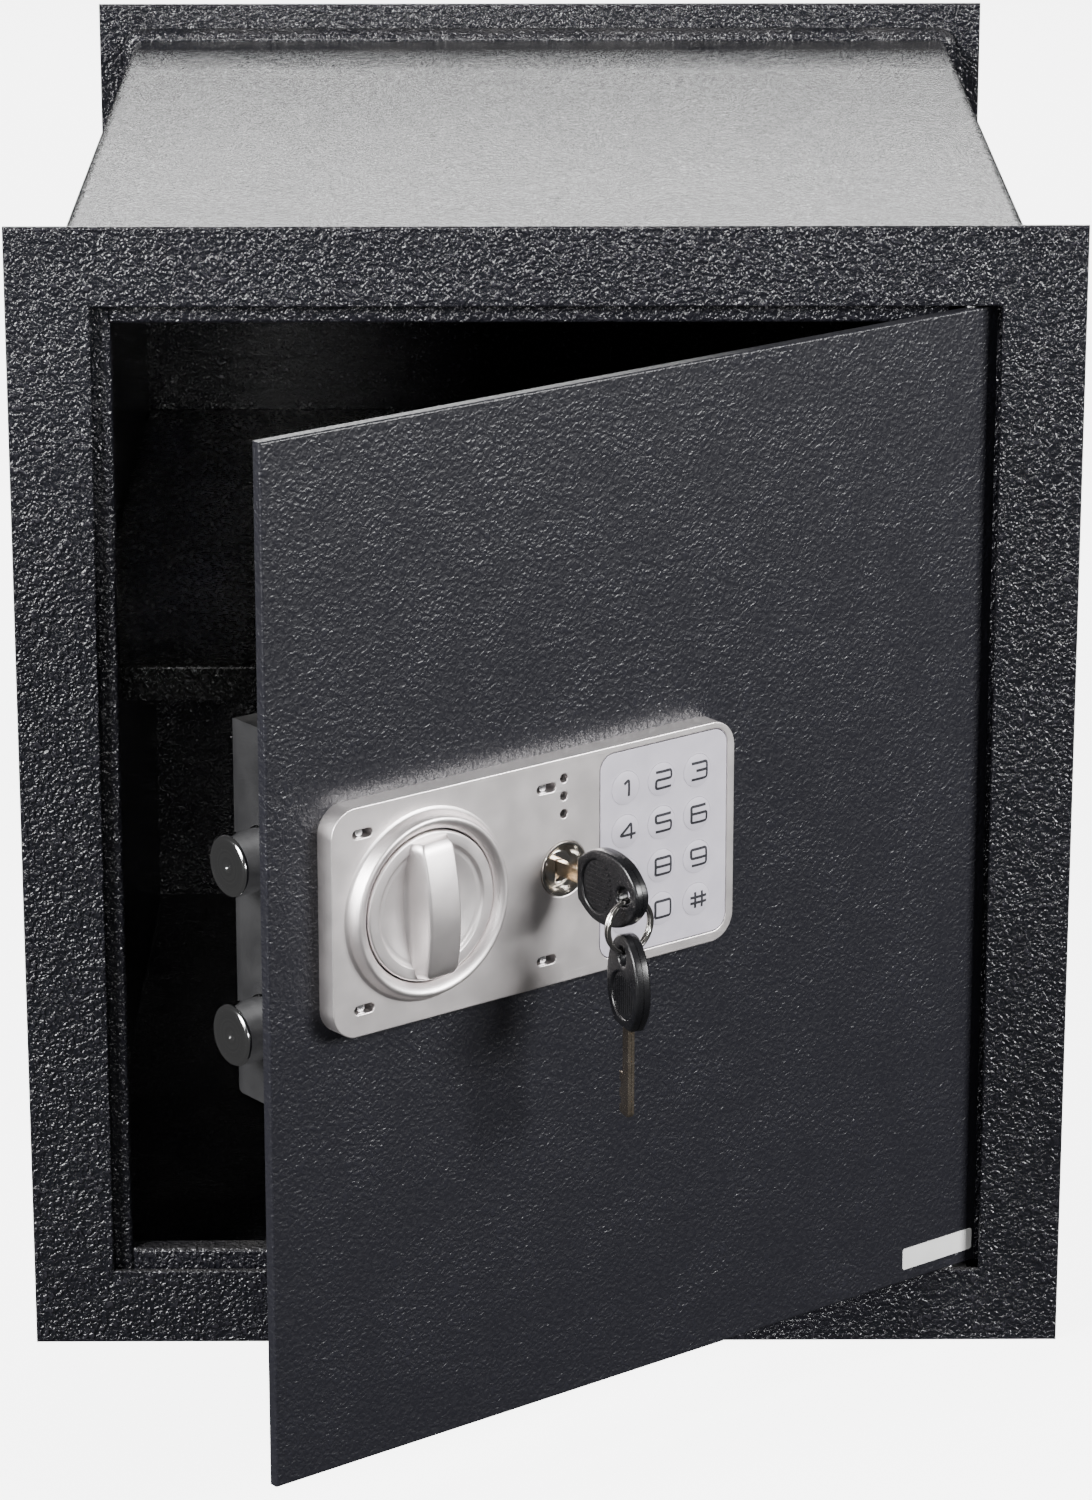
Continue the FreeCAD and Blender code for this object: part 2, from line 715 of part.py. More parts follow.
# ---------------------------------------------------------------- lock panel
def make_lock_panel():
    """The silver casting on the door's face: hollow behind, with the raised ring round the knob."""
    body = new_body("lock_panel", DOOR)
    low = panel_height - panel_tall / 2
    top = panel_height + panel_tall / 2
    sketch = new_sketch(body, "XZ_Plane", panel_front)
    add_rectangle(sketch, panel_left, panel_right, low, top)
    feature = pad(body, sketch, panel_deep)
    feature = round_along(body, feature, 1, panel_corner, corners_of(panel_left, panel_right, low, top))
    feature = soften(body, feature, edge_round, edges_where(feature.Shape, at_level(1, panel_front)))
    hollow = new_sketch(body, "XZ_Plane", panel_front + panel_wall)
    add_rounded(hollow, panel_left + panel_wall, panel_right - panel_wall,
                low + panel_wall, top - panel_wall,
                panel_corner - panel_wall)
    pocket(body, hollow, panel_deep)
    boss = new_sketch(body, "XY_Plane", knob_z, (knob_x, 0))
    bore = knob_radius + knob_gap
    crest = panel_front - boss_high
    add_outline(boss, [(bore, panel_front + 0.5), (boss_base_radius, panel_front + 0.5),
                       (boss_base_radius, panel_front), (boss_base_radius - 0.9, panel_front - 0.8),
                       (boss_top_radius, crest + 0.6), (boss_top_radius - 0.6, crest),
                       (boss_top_radius - 2.2, crest), (bore + 0.6, crest + 2.4), (bore, crest + 3)])
    revolve(body, boss)
    holes = new_sketch(body, "XZ_Plane", panel_front - 1)
    add_circle(holes, knob_x, knob_z, spindle_radius + 0.5)
    add_circle(holes, lock_x, lock_z, lock_radius)
    for step in (-1, 0, 1):
        add_circle(holes, lock_x, panel_height + lamp_rise + step * lamp_pitch, lamp_radius)
    for x, z in screw_spots():
        add_slot(holes, x, z, slot_long, slot_high)
    window_x = key_across + key_radius + key_shift + 1
    window_z = 1.5 * key_up + key_radius + 1
    add_rectangle(holes, film_mid_x - window_x, film_mid_x + window_x,
                  film_mid_z - window_z, film_mid_z + window_z)
    pocket(body, holes, panel_wall + 1)
    recess = new_sketch(body, "XZ_Plane", panel_front - 1)
    half_x = film_wide / 2 + film_gap
    half_z = film_tall / 2 + film_gap
    add_rectangle(recess, film_mid_x - half_x, film_mid_x + half_x, film_mid_z - half_z, film_mid_z + half_z)
    feature = pocket(body, recess, 1 + film_thick)
    round_along(body, feature, 1, film_corner, corners_of(film_mid_x - half_x, film_mid_x + half_x,
                                                          film_mid_z - half_z, film_mid_z + half_z))
    keep(body)


def key_grid():
    """Name and centre of each key of the keypad, top row first."""
    names = (("1", "2", "3"), ("4", "5", "6"), ("7", "8", "9"), ("star", "0", "hash"))
    for row, line in enumerate(names):
        for column, name in enumerate(line):
            yield name, film_mid_x - key_shift + (column - 1) * key_across, film_mid_z + (1.5 - row) * key_up


def make_keypad():
    """The inset film, its twelve keys and the board behind them."""
    film = new_body("keypad_film", DOOR)
    low = film_mid_z - film_tall / 2
    top = film_mid_z + film_tall / 2
    sketch = new_sketch(film, "XZ_Plane", panel_front)
    add_rectangle(sketch, film_left, film_right, low, top)
    for _, x, z in key_grid():
        add_circle(sketch, x, z, key_radius + running_gap)
    feature = pad(film, sketch, film_thick)
    round_along(film, feature, 1, film_corner - film_gap, corners_of(film_left, film_right, low, top))
    keep(film)
    for name, x, z in key_grid():
        key = new_body(f"key_{name}", DOOR.multiply(spot(x, 0, z)))
        profile = new_sketch(key, "XY_Plane", 0)
        crown = panel_front - key_dome
        add_outline(profile, [(0, crown), (key_radius * 0.45, crown + 0.05),
                              (key_radius * 0.8, crown + 0.25),
                              (key_radius, panel_front - 0.1), (key_radius, panel_front + 1),
                              (2, panel_front + 1), (2, panel_front + 2.6), (0, panel_front + 2.6)])
        revolve(key, profile)
        keep(key)
    board_front = panel_front + 2.6 + key_travel + 0.3
    block_spans = ((film_left + 3, film_right - 3), (board_front, board_front + 1.6), (low + 3, top - 3))
    keep(block("circuit_board", DOOR, block_spans))


def make_panel_details():
    """The three lamp lenses and the four screws in the slots."""
    lenses = []
    for step in (-1, 0, 1):
        centre = spot(lock_x, panel_front + lamp_sink, panel_height + lamp_rise + step * lamp_pitch, ALONG_Y)
        lenses.append(cylinder("lamp_lens", lamp_radius - running_gap, 3, DOOR.multiply(centre)))
    group("lamp_lenses", lenses)
    screws = []
    for x, z in screw_spots():
        head_place = DOOR.multiply(spot(x, panel_front + screw_sink, z, ALONG_Y))
        head = cylinder("screw_head", slot_high / 2 - 0.1, 1.6, head_place)
        shank = cylinder("screw_shank", 1.2, panel_deep - screw_sink + 2.8, head_place)
        screw = doc.addObject("Part::Fuse", "panel_screw")
        screw.Base = head
        screw.Tool = shank
        screws.append(screw)
    group("panel_screws", screws)
    right, low = hinge_inset - label_inset, door_low + label_rise
    keep(block("blank_label", DOOR, ((right - label_long, right), (door_face - label_thick, door_face),
                                     (low, low + label_tall)), 1))


# ---------------------------------------------------------------- knob, spindle and bolt work
def make_knob():
    """The knob: a dished disc with an upright grip whose front is arched."""
    place = DOOR.multiply(spot(knob_x, 0, knob_z, Rotation(Y_AXIS, -2.5)))
    body = new_body("knob", place)
    back = panel_front - 0.4
    rim = panel_front - 3.2
    disc = new_sketch(body, "XY_Plane", 0)
    add_outline(disc, [(0, back), (knob_radius, back), (knob_radius, rim + 0.4), (knob_radius - 0.4, rim),
                       (knob_radius - 4.6, rim), (knob_radius - 5.2, rim + 0.8),
                       (knob_radius - 6, rim + 0.8),
                       (knob_radius - 11, rim + 1.4), (knob_radius - 18, rim + 1.8), (0, rim + 1.9)])
    revolve(body, disc)
    half_wide = grip_wide / 2
    half_long = grip_long / 2
    crest = panel_front - grip_high
    ends = crest + grip_arch
    sagitta = grip_arch
    radius = (half_long * half_long + sagitta * sagitta) / (2 * sagitta)
    side = new_sketch(body, "YZ_Plane", -half_wide)
    base = rim + 2
    centre = crest + radius
    spread = math.asin(half_long.value / radius.value)
    circle = Part.Circle(Vector(centre.value, 0, 0), Vector(0, 0, 1), radius.value)
    front = side.addGeometry(Part.ArcOfCircle(circle, math.pi - spread, math.pi + spread), False)
    corners = [(ends, -half_long), (base, -half_long), (base, half_long), (ends, half_long)]
    spots = [Vector(y.value, as_size(z).value, 0) for y, z in corners]
    lines = [side.addGeometry(Part.LineSegment(a, b), False) for a, b in zip(spots, spots[1:])]
    side.addConstraint(Sketcher.Constraint("Coincident", front, 2, lines[0], 1))
    side.addConstraint(Sketcher.Constraint("Coincident", lines[0], 2, lines[1], 1))
    side.addConstraint(Sketcher.Constraint("Coincident", lines[1], 2, lines[2], 1))
    side.addConstraint(Sketcher.Constraint("Coincident", lines[2], 2, front, 1))
    for line, (y, z) in zip(lines, corners):
        pin_point(side, line, 1, y, z)
    pin_point(side, front, 1, ends, half_long)
    index = side.addConstraint(Sketcher.Constraint("Radius", front, radius.value))
    side.setExpression(f"Constraints[{index}]", radius.text)
    feature = pad(body, side, grip_wide)
    sharp = [name for name in edges_where(feature.Shape, lambda point: point.y < ends.value + 0.1)
             if feature.Shape.getElement(name).Length > half_long.value]
    soften(body, feature, edge_round, sharp)
    keep(body)


def make_spindle():
    """The spindle behind the knob, with the crank arm and pin that drive the bolt carriage."""
    place = DOOR.multiply(spot(knob_x, 0, knob_z))
    shaft = cylinder("spindle_shaft", spindle_radius, crank_back - panel_front + 0.4,
                     place.multiply(spot(0, panel_front - 0.4, 0, ALONG_Y)))
    pin_x, pin_z = pin_shift, -pin_shift
    arm = doc.addObject("Part::Box", "crank_arm")
    bind(arm, "Length", crank_throw + 8)
    bind(arm, "Width", crank_thick)
    arm.Height = 8
    turn = Placement(Vector(), Rotation(Y_AXIS, 45))
    arm.Placement = place.multiply(turn).multiply(spot(-4, crank_front, -4))
    pin = cylinder("crank_pin", crank_pin_radius, web_back - 0.5 - crank_front,
                   place.multiply(spot(pin_x, crank_front, pin_z, ALONG_Y)))
    spindle = doc.addObject("Part::MultiFuse", "knob_spindle")
    spindle.Shapes = [shaft, arm, pin]
    keep(spindle, "knob_spindle")


def make_bolts():
    """Two round bolts and the carriage that joins them."""
    for label, level in (("bolt_lower", bolt_low), ("bolt_upper", bolt_low + bolt_apart)):
        body = new_body(label, DOOR)
        sketch = new_sketch(body, "YZ_Plane", bolt_tip)
        add_circle(sketch, bolt_back, level, bolt_radius)
        feature = pad(body, sketch, bolt_long)
        soften(body, feature, bolt_rim, edges_where(feature.Shape, at_level(0, bolt_tip)))
        keep(body)
    body = new_body("bolt_carriage", DOOR)
    slot_x = knob_x + pin_shift
    web_left = bolt_end - carriage_thick
    web_right = slot_x + crank_pin_radius + 5
    tail_right = web_right + 40
    low = bolt_low - bolt_radius
    top = bolt_low + bolt_apart + bolt_radius
    tail_top = knob_z - barrel_radius - 4
    tail_low = tail_top - 12
    notch = plunger_radius + 0.5
    first, second = plunger_x() - notch, plunger_x() + notch
    points = [(web_left, low), (web_right, low), (web_right, tail_low)]
    for shift in (0, bolt_throw):
        points += [(first + shift, tail_low), (first + shift, tail_low + 7),
                   (second + shift, tail_low + 7), (second + shift, tail_low)]
    points += [(tail_right, tail_low), (tail_right, tail_top), (web_right, tail_top), (web_right, top),
               (web_left, top)]
    sketch = new_sketch(body, "XZ_Plane", web_front)
    add_outline(sketch, points)
    slot_half = crank_pin_radius + 0.6
    slot_low = knob_z - crank_throw - crank_pin_radius - 1
    slot_top = knob_z - pin_shift + crank_pin_radius + 1
    add_rectangle(sketch, slot_x - slot_half, slot_x + slot_half, slot_low, slot_top)
    pad(body, sketch, carriage_thick)
    flange = new_sketch(body, "XZ_Plane", web_back)
    add_rectangle(flange, bolt_end, bolt_end + carriage_thick, low, top)
    pad(body, flange, bolt_back + bolt_radius / 2 - web_back)
    keep(body)


def plunger_x():
    """Where the solenoid's plunger stands, beside the carriage's web."""
    return knob_x + pin_shift + crank_pin_radius + 5 + 14


def make_guide():
    """The bracket on the door plate that guides both bolts."""
    left = cover_left + cover_wall + 0.5
    low = bolt_low - bolt_radius - 3
    top = bolt_low + bolt_apart + bolt_radius + 3
    back = bolt_back + bolt_radius + 4
    body = new_body("bolt_guide", DOOR)
    sketch = new_sketch(body, "XY_Plane", low)
    first, second = left + guide_thick, left + guide_apart
    add_outline(sketch, [(left, 0), (second + guide_thick, 0), (second + guide_thick, back), (second, back),
                         (second, guide_thick), (first, guide_thick), (first, back), (left, back)])
    pad(body, sketch, top - low)
    holes = new_sketch(body, "YZ_Plane", left - 1)
    for level in (bolt_low, bolt_low + bolt_apart):
        add_circle(holes, bolt_back, level, bolt_radius + running_gap)
    pocket(body, holes, guide_apart + guide_thick + 2)
    keep(body)


def make_solenoid():
    """The solenoid that blocks the carriage, and its plunger."""
    x = plunger_x()
    middle = (web_front + web_back) / 2
    plunger_top = knob_z - barrel_radius - 16.5
    body_top = plunger_top - 7.5
    body_low = cover_low + cover_wall + 4
    body = block("solenoid_body", DOOR, ((x - 11, x + 11), (middle - 10, middle + 10), (body_low, body_top)))
    hole = new_sketch(body, "XY_Plane", body_low + 4)
    add_circle(hole, x, middle, plunger_radius + running_gap)
    pocket(body, hole, body_top - body_low)
    keep(body)
    start = body_low + 6
    plunger = cylinder("solenoid_plunger", plunger_radius, plunger_top - start,
                       DOOR.multiply(spot(x, middle, start)))
    keep(plunger, "solenoid_plunger")


# ---------------------------------------------------------------- cover and battery box
CELL_COUNT = 4


def battery_span():
    """X and Z limits of the battery box."""
    right = cover_right - cover_wall - 4
    left = right - 2 * CELL_COUNT * cell_radius - 6
    low = cover_low + cover_wall + 6
    return left, right, low, low + cell_long + 6


def make_cover():
    """The black cover over the bolt work, open towards the door, with the battery hatch in its back."""
    top = cover_low + cover_tall
    body = new_body("lock_cover", DOOR)
    sketch = new_sketch(body, "XZ_Plane", 0)
    add_rectangle(sketch, cover_left, cover_right, cover_low, top)
    feature = pad(body, sketch, cover_deep)
    ends = [name for name in edges_where(feature.Shape, at_level(1, cover_deep))]
    feature = soften(body, feature, cover_round, ends)
    open_face = next(f"Face{number}" for number, face in enumerate(feature.Shape.Faces, 1)
                     if abs(face.CenterOfMass.y) < 1e-4)
    hollow(body, feature, open_face, cover_wall)
    holes = new_sketch(body, "YZ_Plane", cover_left - 1)
    for level in (bolt_low, bolt_low + bolt_apart):
        add_circle(holes, bolt_back, level, bolt_radius + 0.6)
    pocket(body, holes, cover_wall + 2)
    hatch = new_sketch(body, "XZ_Plane", cover_deep - cover_wall - 1)
    left, right, low, high = battery_span()
    add_rectangle(hatch, left + 3, right - 6, low + 3, high - 3)
    add_circle(hatch, reset_x(), reset_z(), 3.3)
    for x, z in cover_screw_spots():
        add_circle(hatch, x, z, 1.6)
    pocket(body, hatch, cover_wall + 2)
    keep(body)


def cover_screw_spots():
    """Centres of the four long screws that hold the cover."""
    inset = 14
    left, right = cover_left + inset, cover_right - inset
    low, high = cover_low + inset - 3, cover_low + cover_tall - inset
    return [(left, low), (left, high), (right, high), (cover_right - 92, low)]


def reset_x():
    """X of the code reset button."""
    return cover_right - 40


def reset_z():
    """Z of the code reset button."""
    return cover_low + cover_tall - 34


def make_cover_contents():
    """Battery box, cells, hatch, reset button and the cover's screws."""
    left, right, low, high = battery_span()
    back = cover_deep - cover_wall - 0.4
    front = back - 2 * cell_radius - 3
    tray = block("battery_box", DOOR, ((left, right), (front, back), (low, high)))
    hollow = new_sketch(tray, "XZ_Plane", front + 1.5)
    add_rectangle(hollow, left + 1.5, right - 1.5, low + 1.5, high - 1.5)
    pocket(tray, hollow, back - front)
    keep(tray)
    cells = []
    for number in range(CELL_COUNT):
        x = left + 3 + cell_radius + number * 2 * cell_radius
        place = DOOR.multiply(spot(x, front + 1.5 + cell_radius, low + 3))
        cells.append(cylinder("cell", cell_radius - 0.05, cell_long, place))
    group("battery_cells", cells)
    keep(block("battery_hatch", DOOR, ((left + 3.3, right - 6.3), (cover_deep - cover_wall, cover_deep),
                                       (low + 3.3, high - 3.3))))
    place = DOOR.multiply(spot(reset_x(), cover_deep - reset_long + reset_out, reset_z(), ALONG_Y))
    button = cylinder("reset_button", reset_radius, reset_long, place)
    keep(button, "reset_button")
    screws = []
    for x, z in cover_screw_spots():
        shank = cylinder("cover_shank", 1.5, cover_deep, DOOR.multiply(spot(x, 0, z, ALONG_Y)))
        head = cylinder("cover_head", 3, 1.8, DOOR.multiply(spot(x, cover_deep, z, ALONG_Y)))
        screw = doc.addObject("Part::Fuse", "cover_screw")
        screw.Base = shank
        screw.Tool = head
        screws.append(screw)
    group("cover_screws", screws)


# ---------------------------------------------------------------- override lock and keys
def make_override_lock():
    """The nickel dish, the barrel behind it and the plug that the key turns."""
    place = DOOR.multiply(spot(lock_x, 0, lock_z))
    dish = new_body("lock_dish", place)
    sketch = new_sketch(dish, "XY_Plane", 0)
    bore = plug_radius + running_gap
    rim = panel_front - 0.4
    floor = panel_front + 4
    add_outline(sketch, [(lock_radius - running_gap, rim + 0.3), (lock_radius - 0.4, rim),
                         (lock_radius - 1, rim),
                         (lock_radius - 2.2, rim + 2.6), (bore + 0.6, floor - 0.6), (bore, floor),
                         (bore, floor + 2), (lock_radius - running_gap, floor + 2)])
    revolve(dish, sketch)
    keep(dish)
    barrel = new_body("lock_barrel", place)
    sketch = new_sketch(barrel, "XY_Plane", 0)
    add_outline(sketch, [(bore, floor + 2), (barrel_radius, floor + 2), (barrel_radius, barrel_back),
                         (bore, barrel_back)])
    revolve(barrel, sketch)
    keep(barrel)
    plug = new_body("lock_plug", place)
    sketch = new_sketch(plug, "XZ_Plane", floor - 1.2)
    add_circle(sketch, 0, 0, plug_radius)
    slot = blade_thick / 2 + 0.15
    add_rectangle(sketch, -slot, slot, -(blade_wide / 2 + bit_out + 0.2), blade_wide / 2 + 0.2)
    pad(plug, sketch, barrel_back + 2 - floor)
    keep(plug)


def bow_outline():
    """The head of a key, seen from the side: length from the blade, and half width."""
    half = [(0, 5.5), (1.2, 8), (9, 13), (18, 13.6), (26, 11), (31, 6.5)]
    outline = [(bow_long * along / 33, across) for along, across in half]
    outline.append((bow_long, as_size(2.5)))
    return outline


def make_key(number, place):
    """A key whose blade runs along its own +Y from the origin and whose bow runs along -Y."""
    bow = new_body(f"key_bow_{number}", place)
    sketch = new_sketch(bow, "YZ_Plane", -bow_thick / 2)
    half = bow_outline()
    points = [(-as_size(along), across) for along, across in half]
    points += [(-as_size(along), -as_size(across)) for along, across in reversed(half)]
    add_outline(sketch, points)
    add_circle(sketch, bow_hole_from_end - bow_long, 0, bow_hole_radius)
    feature = pad(bow, sketch, bow_thick)
    face_x = bow_thick.value / 2 - 0.01
    long_edges = [name for name in edges_where(feature.Shape, lambda point: abs(point.x) > face_x)
                  if len(feature.Shape.getElement(name).Vertexes) == 2]
    soften(bow, feature, edge_round, long_edges)
    keep(bow)
    blade = new_body(f"key_blade_{number}", place)
    profile = new_sketch(blade, "YZ_Plane", -blade_thick / 2)
    edge = blade_wide / 2
    start = blade_long - bit_long
    step = bit_long / 5
    deep = edge + bit_out
    mid = edge + bit_out / 2
    add_outline(profile, [(0, edge), (0, -edge), (start, -edge), (start, -deep), (start + step, -deep),
                          (start + step, -mid), (start + 2 * step, -mid), (start + 2 * step, -deep),
                          (start + 3 * step, -deep), (start + 3 * step, -mid), (start + 4 * step, -mid),
                          (start + 4 * step, -deep), (blade_long, -deep), (blade_long, edge)])
    pad(blade, profile, blade_thick)
    keep(blade)


def make_keys():
    """One key in the lock, the split ring through its bow, and the second key hanging from the ring."""
    bow_start = panel_front - bow_stand_off
    first = DOOR.multiply(spot(lock_x, bow_start, lock_z))
    make_key(1, first)
    hole_y = bow_start + bow_hole_from_end - bow_long
    play = bow_hole_radius - ring_wire - ring_play
    ring_z = lock_z - play - ring_radius
    wires = []
    for side in (-1, 1):
        wire = doc.addObject("Part::Torus", "ring_wire")
        bind(wire, "Radius1", ring_radius)
        bind(wire, "Radius2", ring_wire)
        wire.Placement = DOOR.multiply(spot(lock_x, hole_y + side * ring_wire * 0.9, ring_z, ALONG_Y))
        wires.append(wire)
    ring = doc.addObject("Part::Fuse", "key_ring")
    ring.Base, ring.Tool = wires
    keep(ring, "key_ring")
    hang_z = ring_z - ring_radius - play
    down = Rotation(Z_AXIS, 180 - hang_turn.value).multiply(Rotation(X_AXIS, -90))
    second = DOOR.multiply(spot(lock_x, hole_y, hang_z - (bow_long - bow_hole_from_end), down))
    make_key(2, second)


make_front_flange()
make_body_shell()
make_rear_plate()
make_rear_weld()
make_stops()
make_bolt_keeper()
make_hinge_bushes()
make_shelf()
make_door_plate()
make_hinge_pins()
make_lock_panel()
make_keypad()
make_panel_details()
make_knob()
make_spindle()
make_bolts()
make_guide()
make_solenoid()
make_cover()
make_cover_contents()
make_override_lock()
make_keys()

doc.recompute()
for item in doc.Objects:
    if "Invalid" in item.State or "Error" in item.State:
        raise RuntimeError(f"{item.Name} failed: {item.State}")
os.makedirs("parts", exist_ok=True)
for piece in PIECES:
    if piece.Shape.isNull() or not piece.Shape.isValid():
        raise RuntimeError(f"{piece.Label} has no valid shape")
    piece.Shape.exportStep(f"parts/{piece.Label}.step")
    print(f"{piece.Label}: {len(piece.Shape.Solids)} solids, {piece.Shape.Volume:.1f} mm3")
print(len(PIECES), "sub-parts")
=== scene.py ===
"""Looks of the wall safe: paint, castings, keypad, knob, bolts, keys, soft light and the camera.

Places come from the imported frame. The cabinet stands in the frame's own axes. What rides on the door is
drawn in door coordinates, in millimetres: the hinge axis is the origin, X runs towards the hinge edge,
Y into the safe, and Z is up.
"""
import json
import math

import bmesh
import bpy
from mathutils import Matrix, Vector
from mathutils.geometry import tessellate_polygon


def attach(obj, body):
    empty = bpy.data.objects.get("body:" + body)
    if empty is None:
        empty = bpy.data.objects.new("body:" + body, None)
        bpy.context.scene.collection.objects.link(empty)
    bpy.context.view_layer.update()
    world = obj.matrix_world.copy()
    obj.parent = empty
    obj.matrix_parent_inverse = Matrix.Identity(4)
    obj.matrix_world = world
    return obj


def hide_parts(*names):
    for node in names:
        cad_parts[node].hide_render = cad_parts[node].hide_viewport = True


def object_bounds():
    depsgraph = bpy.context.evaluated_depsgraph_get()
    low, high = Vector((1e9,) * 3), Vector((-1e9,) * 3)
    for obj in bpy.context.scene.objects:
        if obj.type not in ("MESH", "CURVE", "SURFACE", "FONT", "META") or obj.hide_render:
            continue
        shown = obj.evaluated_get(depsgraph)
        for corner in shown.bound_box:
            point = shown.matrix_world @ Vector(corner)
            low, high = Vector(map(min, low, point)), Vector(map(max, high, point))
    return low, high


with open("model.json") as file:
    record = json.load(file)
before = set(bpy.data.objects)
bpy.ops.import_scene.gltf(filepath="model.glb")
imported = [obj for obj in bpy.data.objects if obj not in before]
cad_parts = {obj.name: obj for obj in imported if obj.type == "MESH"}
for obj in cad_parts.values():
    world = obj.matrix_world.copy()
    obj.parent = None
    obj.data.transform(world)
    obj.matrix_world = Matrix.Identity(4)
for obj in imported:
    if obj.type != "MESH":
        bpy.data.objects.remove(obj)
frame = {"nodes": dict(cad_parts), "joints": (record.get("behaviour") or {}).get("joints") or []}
cad_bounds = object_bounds()

MM = 0.001
EDGE_STEPS = 3            # facets of a rounded edge
AXIS = 0.02               # smallest radius of a turned form, in place of a point
LINE_CROWN = 1.3          # height of a printed line's middle over its sides
WELD = 1e-7               # points nearer than this, in metres, are one
IOR = 1.5
JOINTS = {joint["name"]: joint for joint in frame["joints"]}
HINGE = JOINTS["door_hinge"]
OPEN_ANGLE = math.radians(-HINGE["range_deg"][0])
DOOR = Matrix.Translation(HINGE["pos_m"]) @ Matrix.Rotation(OPEN_ANGLE, 4, "Z")


# ---------------------------------------------------------------- places from the frame
def local_box(node):
    """Lowest and highest corner of a CAD node in door coordinates, in millimetres."""
    inverse = DOOR.inverted()
    points = [inverse @ vertex.co / MM for vertex in frame["nodes"][node].data.vertices]
    low = Vector([min(point[axis] for point in points) for axis in range(3)])
    high = Vector([max(point[axis] for point in points) for axis in range(3)])
    return low, high


def joint_spot(name):
    """A hinge joint's point in door coordinates, in millimetres."""
    return DOOR.inverted() @ Vector(JOINTS[name]["pos_m"]) / MM


def at(x, y, z):
    """The door's frame moved to a point in it, given in millimetres."""
    return DOOR @ Matrix.Translation(Vector((x, y, z)) * MM)


# ---------------------------------------------------------------- forms: lists of points and faces
def joined(*forms):
    """Several forms as one."""
    points, faces = [], []
    for more_points, more_faces in forms:
        start = len(points)
        points += more_points
        faces += [[start + index for index in face] for face in more_faces]
    return points, faces


def moved(form, matrix):
    """A form carried by a matrix."""
    return [matrix @ point for point in form[0]], form[1]


def skin(loops, cap_start=True, cap_end=True):
    """The surface between closed loops that all have the same number of points."""
    count = len(loops[0])
    points = [Vector(point) for loop in loops for point in loop]
    faces = []
    for row in range(len(loops) - 1):
        for column in range(count):
            following = (column + 1) % count
            faces.append([row * count + column, row * count + following,
                          (row + 1) * count + following, (row + 1) * count + column])
    if cap_start:
        faces.append(list(range(count)))
    if cap_end:
        faces.append([(len(loops) - 1) * count + index for index in range(count)])
    return points, faces


def lathe(profile, steps, closed=False):
    """A turned form about the Y axis, from (radius, y) points."""
    loops = []
    for radius, level in profile:
        turn = [2 * math.pi * step / steps for step in range(steps)]
        loops.append([Vector((radius * math.cos(a), level, radius * math.sin(a))) for a in turn])
    if closed:
        return skin(loops + [loops[0]], False, False)
    return skin(loops)


def bulged(start, end, bulge, count):
    """Points of a shallow arc between two profile points."""
    (r0, y0), (r1, y1) = start, end
    out = []
    for step in range(count + 1):
        t = step / count
        swell = 4 * t * (1 - t) * bulge
        out.append((r0 + (r1 - r0) * t, y0 + (y1 - y0) * t - swell))
    return out


def circle(x, z, radius, steps=40):
    """A circle of points in X and Z."""
    turn = [2 * math.pi * step / steps for step in range(steps)]
    return [(x + radius * math.cos(a), z + radius * math.sin(a)) for a in turn]


def rounded(left, right, low, top, radius, steps=8):
    """A rectangle with round corners, in X and Z."""
    corners = ((right - radius, top - radius, 0), (left + radius, top - radius, 1),
               (left + radius, low + radius, 2), (right - radius, low + radius, 3))
    out = []
    for x, z, quarter in corners:
        for step in range(steps + 1):
            a = (quarter + step / steps) * math.pi / 2
            out.append((x + radius * math.cos(a), z + radius * math.sin(a)))
    return out


def smooth_loop(points, steps):
    """A closed curve through points, as a fine outline."""
    count = len(points)
    out = []
    for index in range(count):
        p0, p1, p2, p3 = (Vector(points[(index + shift) % count]) for shift in (-1, 0, 1, 2))
        for step in range(steps):
            t = step / steps
            bend = (2 * p0 - 5 * p1 + 4 * p2 - p3) * t * t + (3 * p1 - p0 - 3 * p2 + p3) * t ** 3
            out.append(tuple(p1 + ((p2 - p0) * t + bend) / 2))
    return out


def signed_area(points):
    """Area of an outline, positive when it runs anticlockwise."""
    return sum(a[0] * b[1] - b[0] * a[1] for a, b in zip(points, points[1:] + points[:1])) / 2


def inset(points, distance):
    """An anticlockwise outline moved inwards, or a clockwise one outwards, by a distance."""
    out = []
    count = len(points)
    for index in range(count):
        before, here, after = (Vector(points[(index + shift) % count]) for shift in (-1, 0, 1))
        first = (here - before).normalized()
        second = (after - here).normalized()
        normal = Vector((-first.y - second.y, first.x + second.x))
        share = max(0.5, normal.length_squared / 2)
        out.append(tuple(here + normal * (distance / share)))
    return out


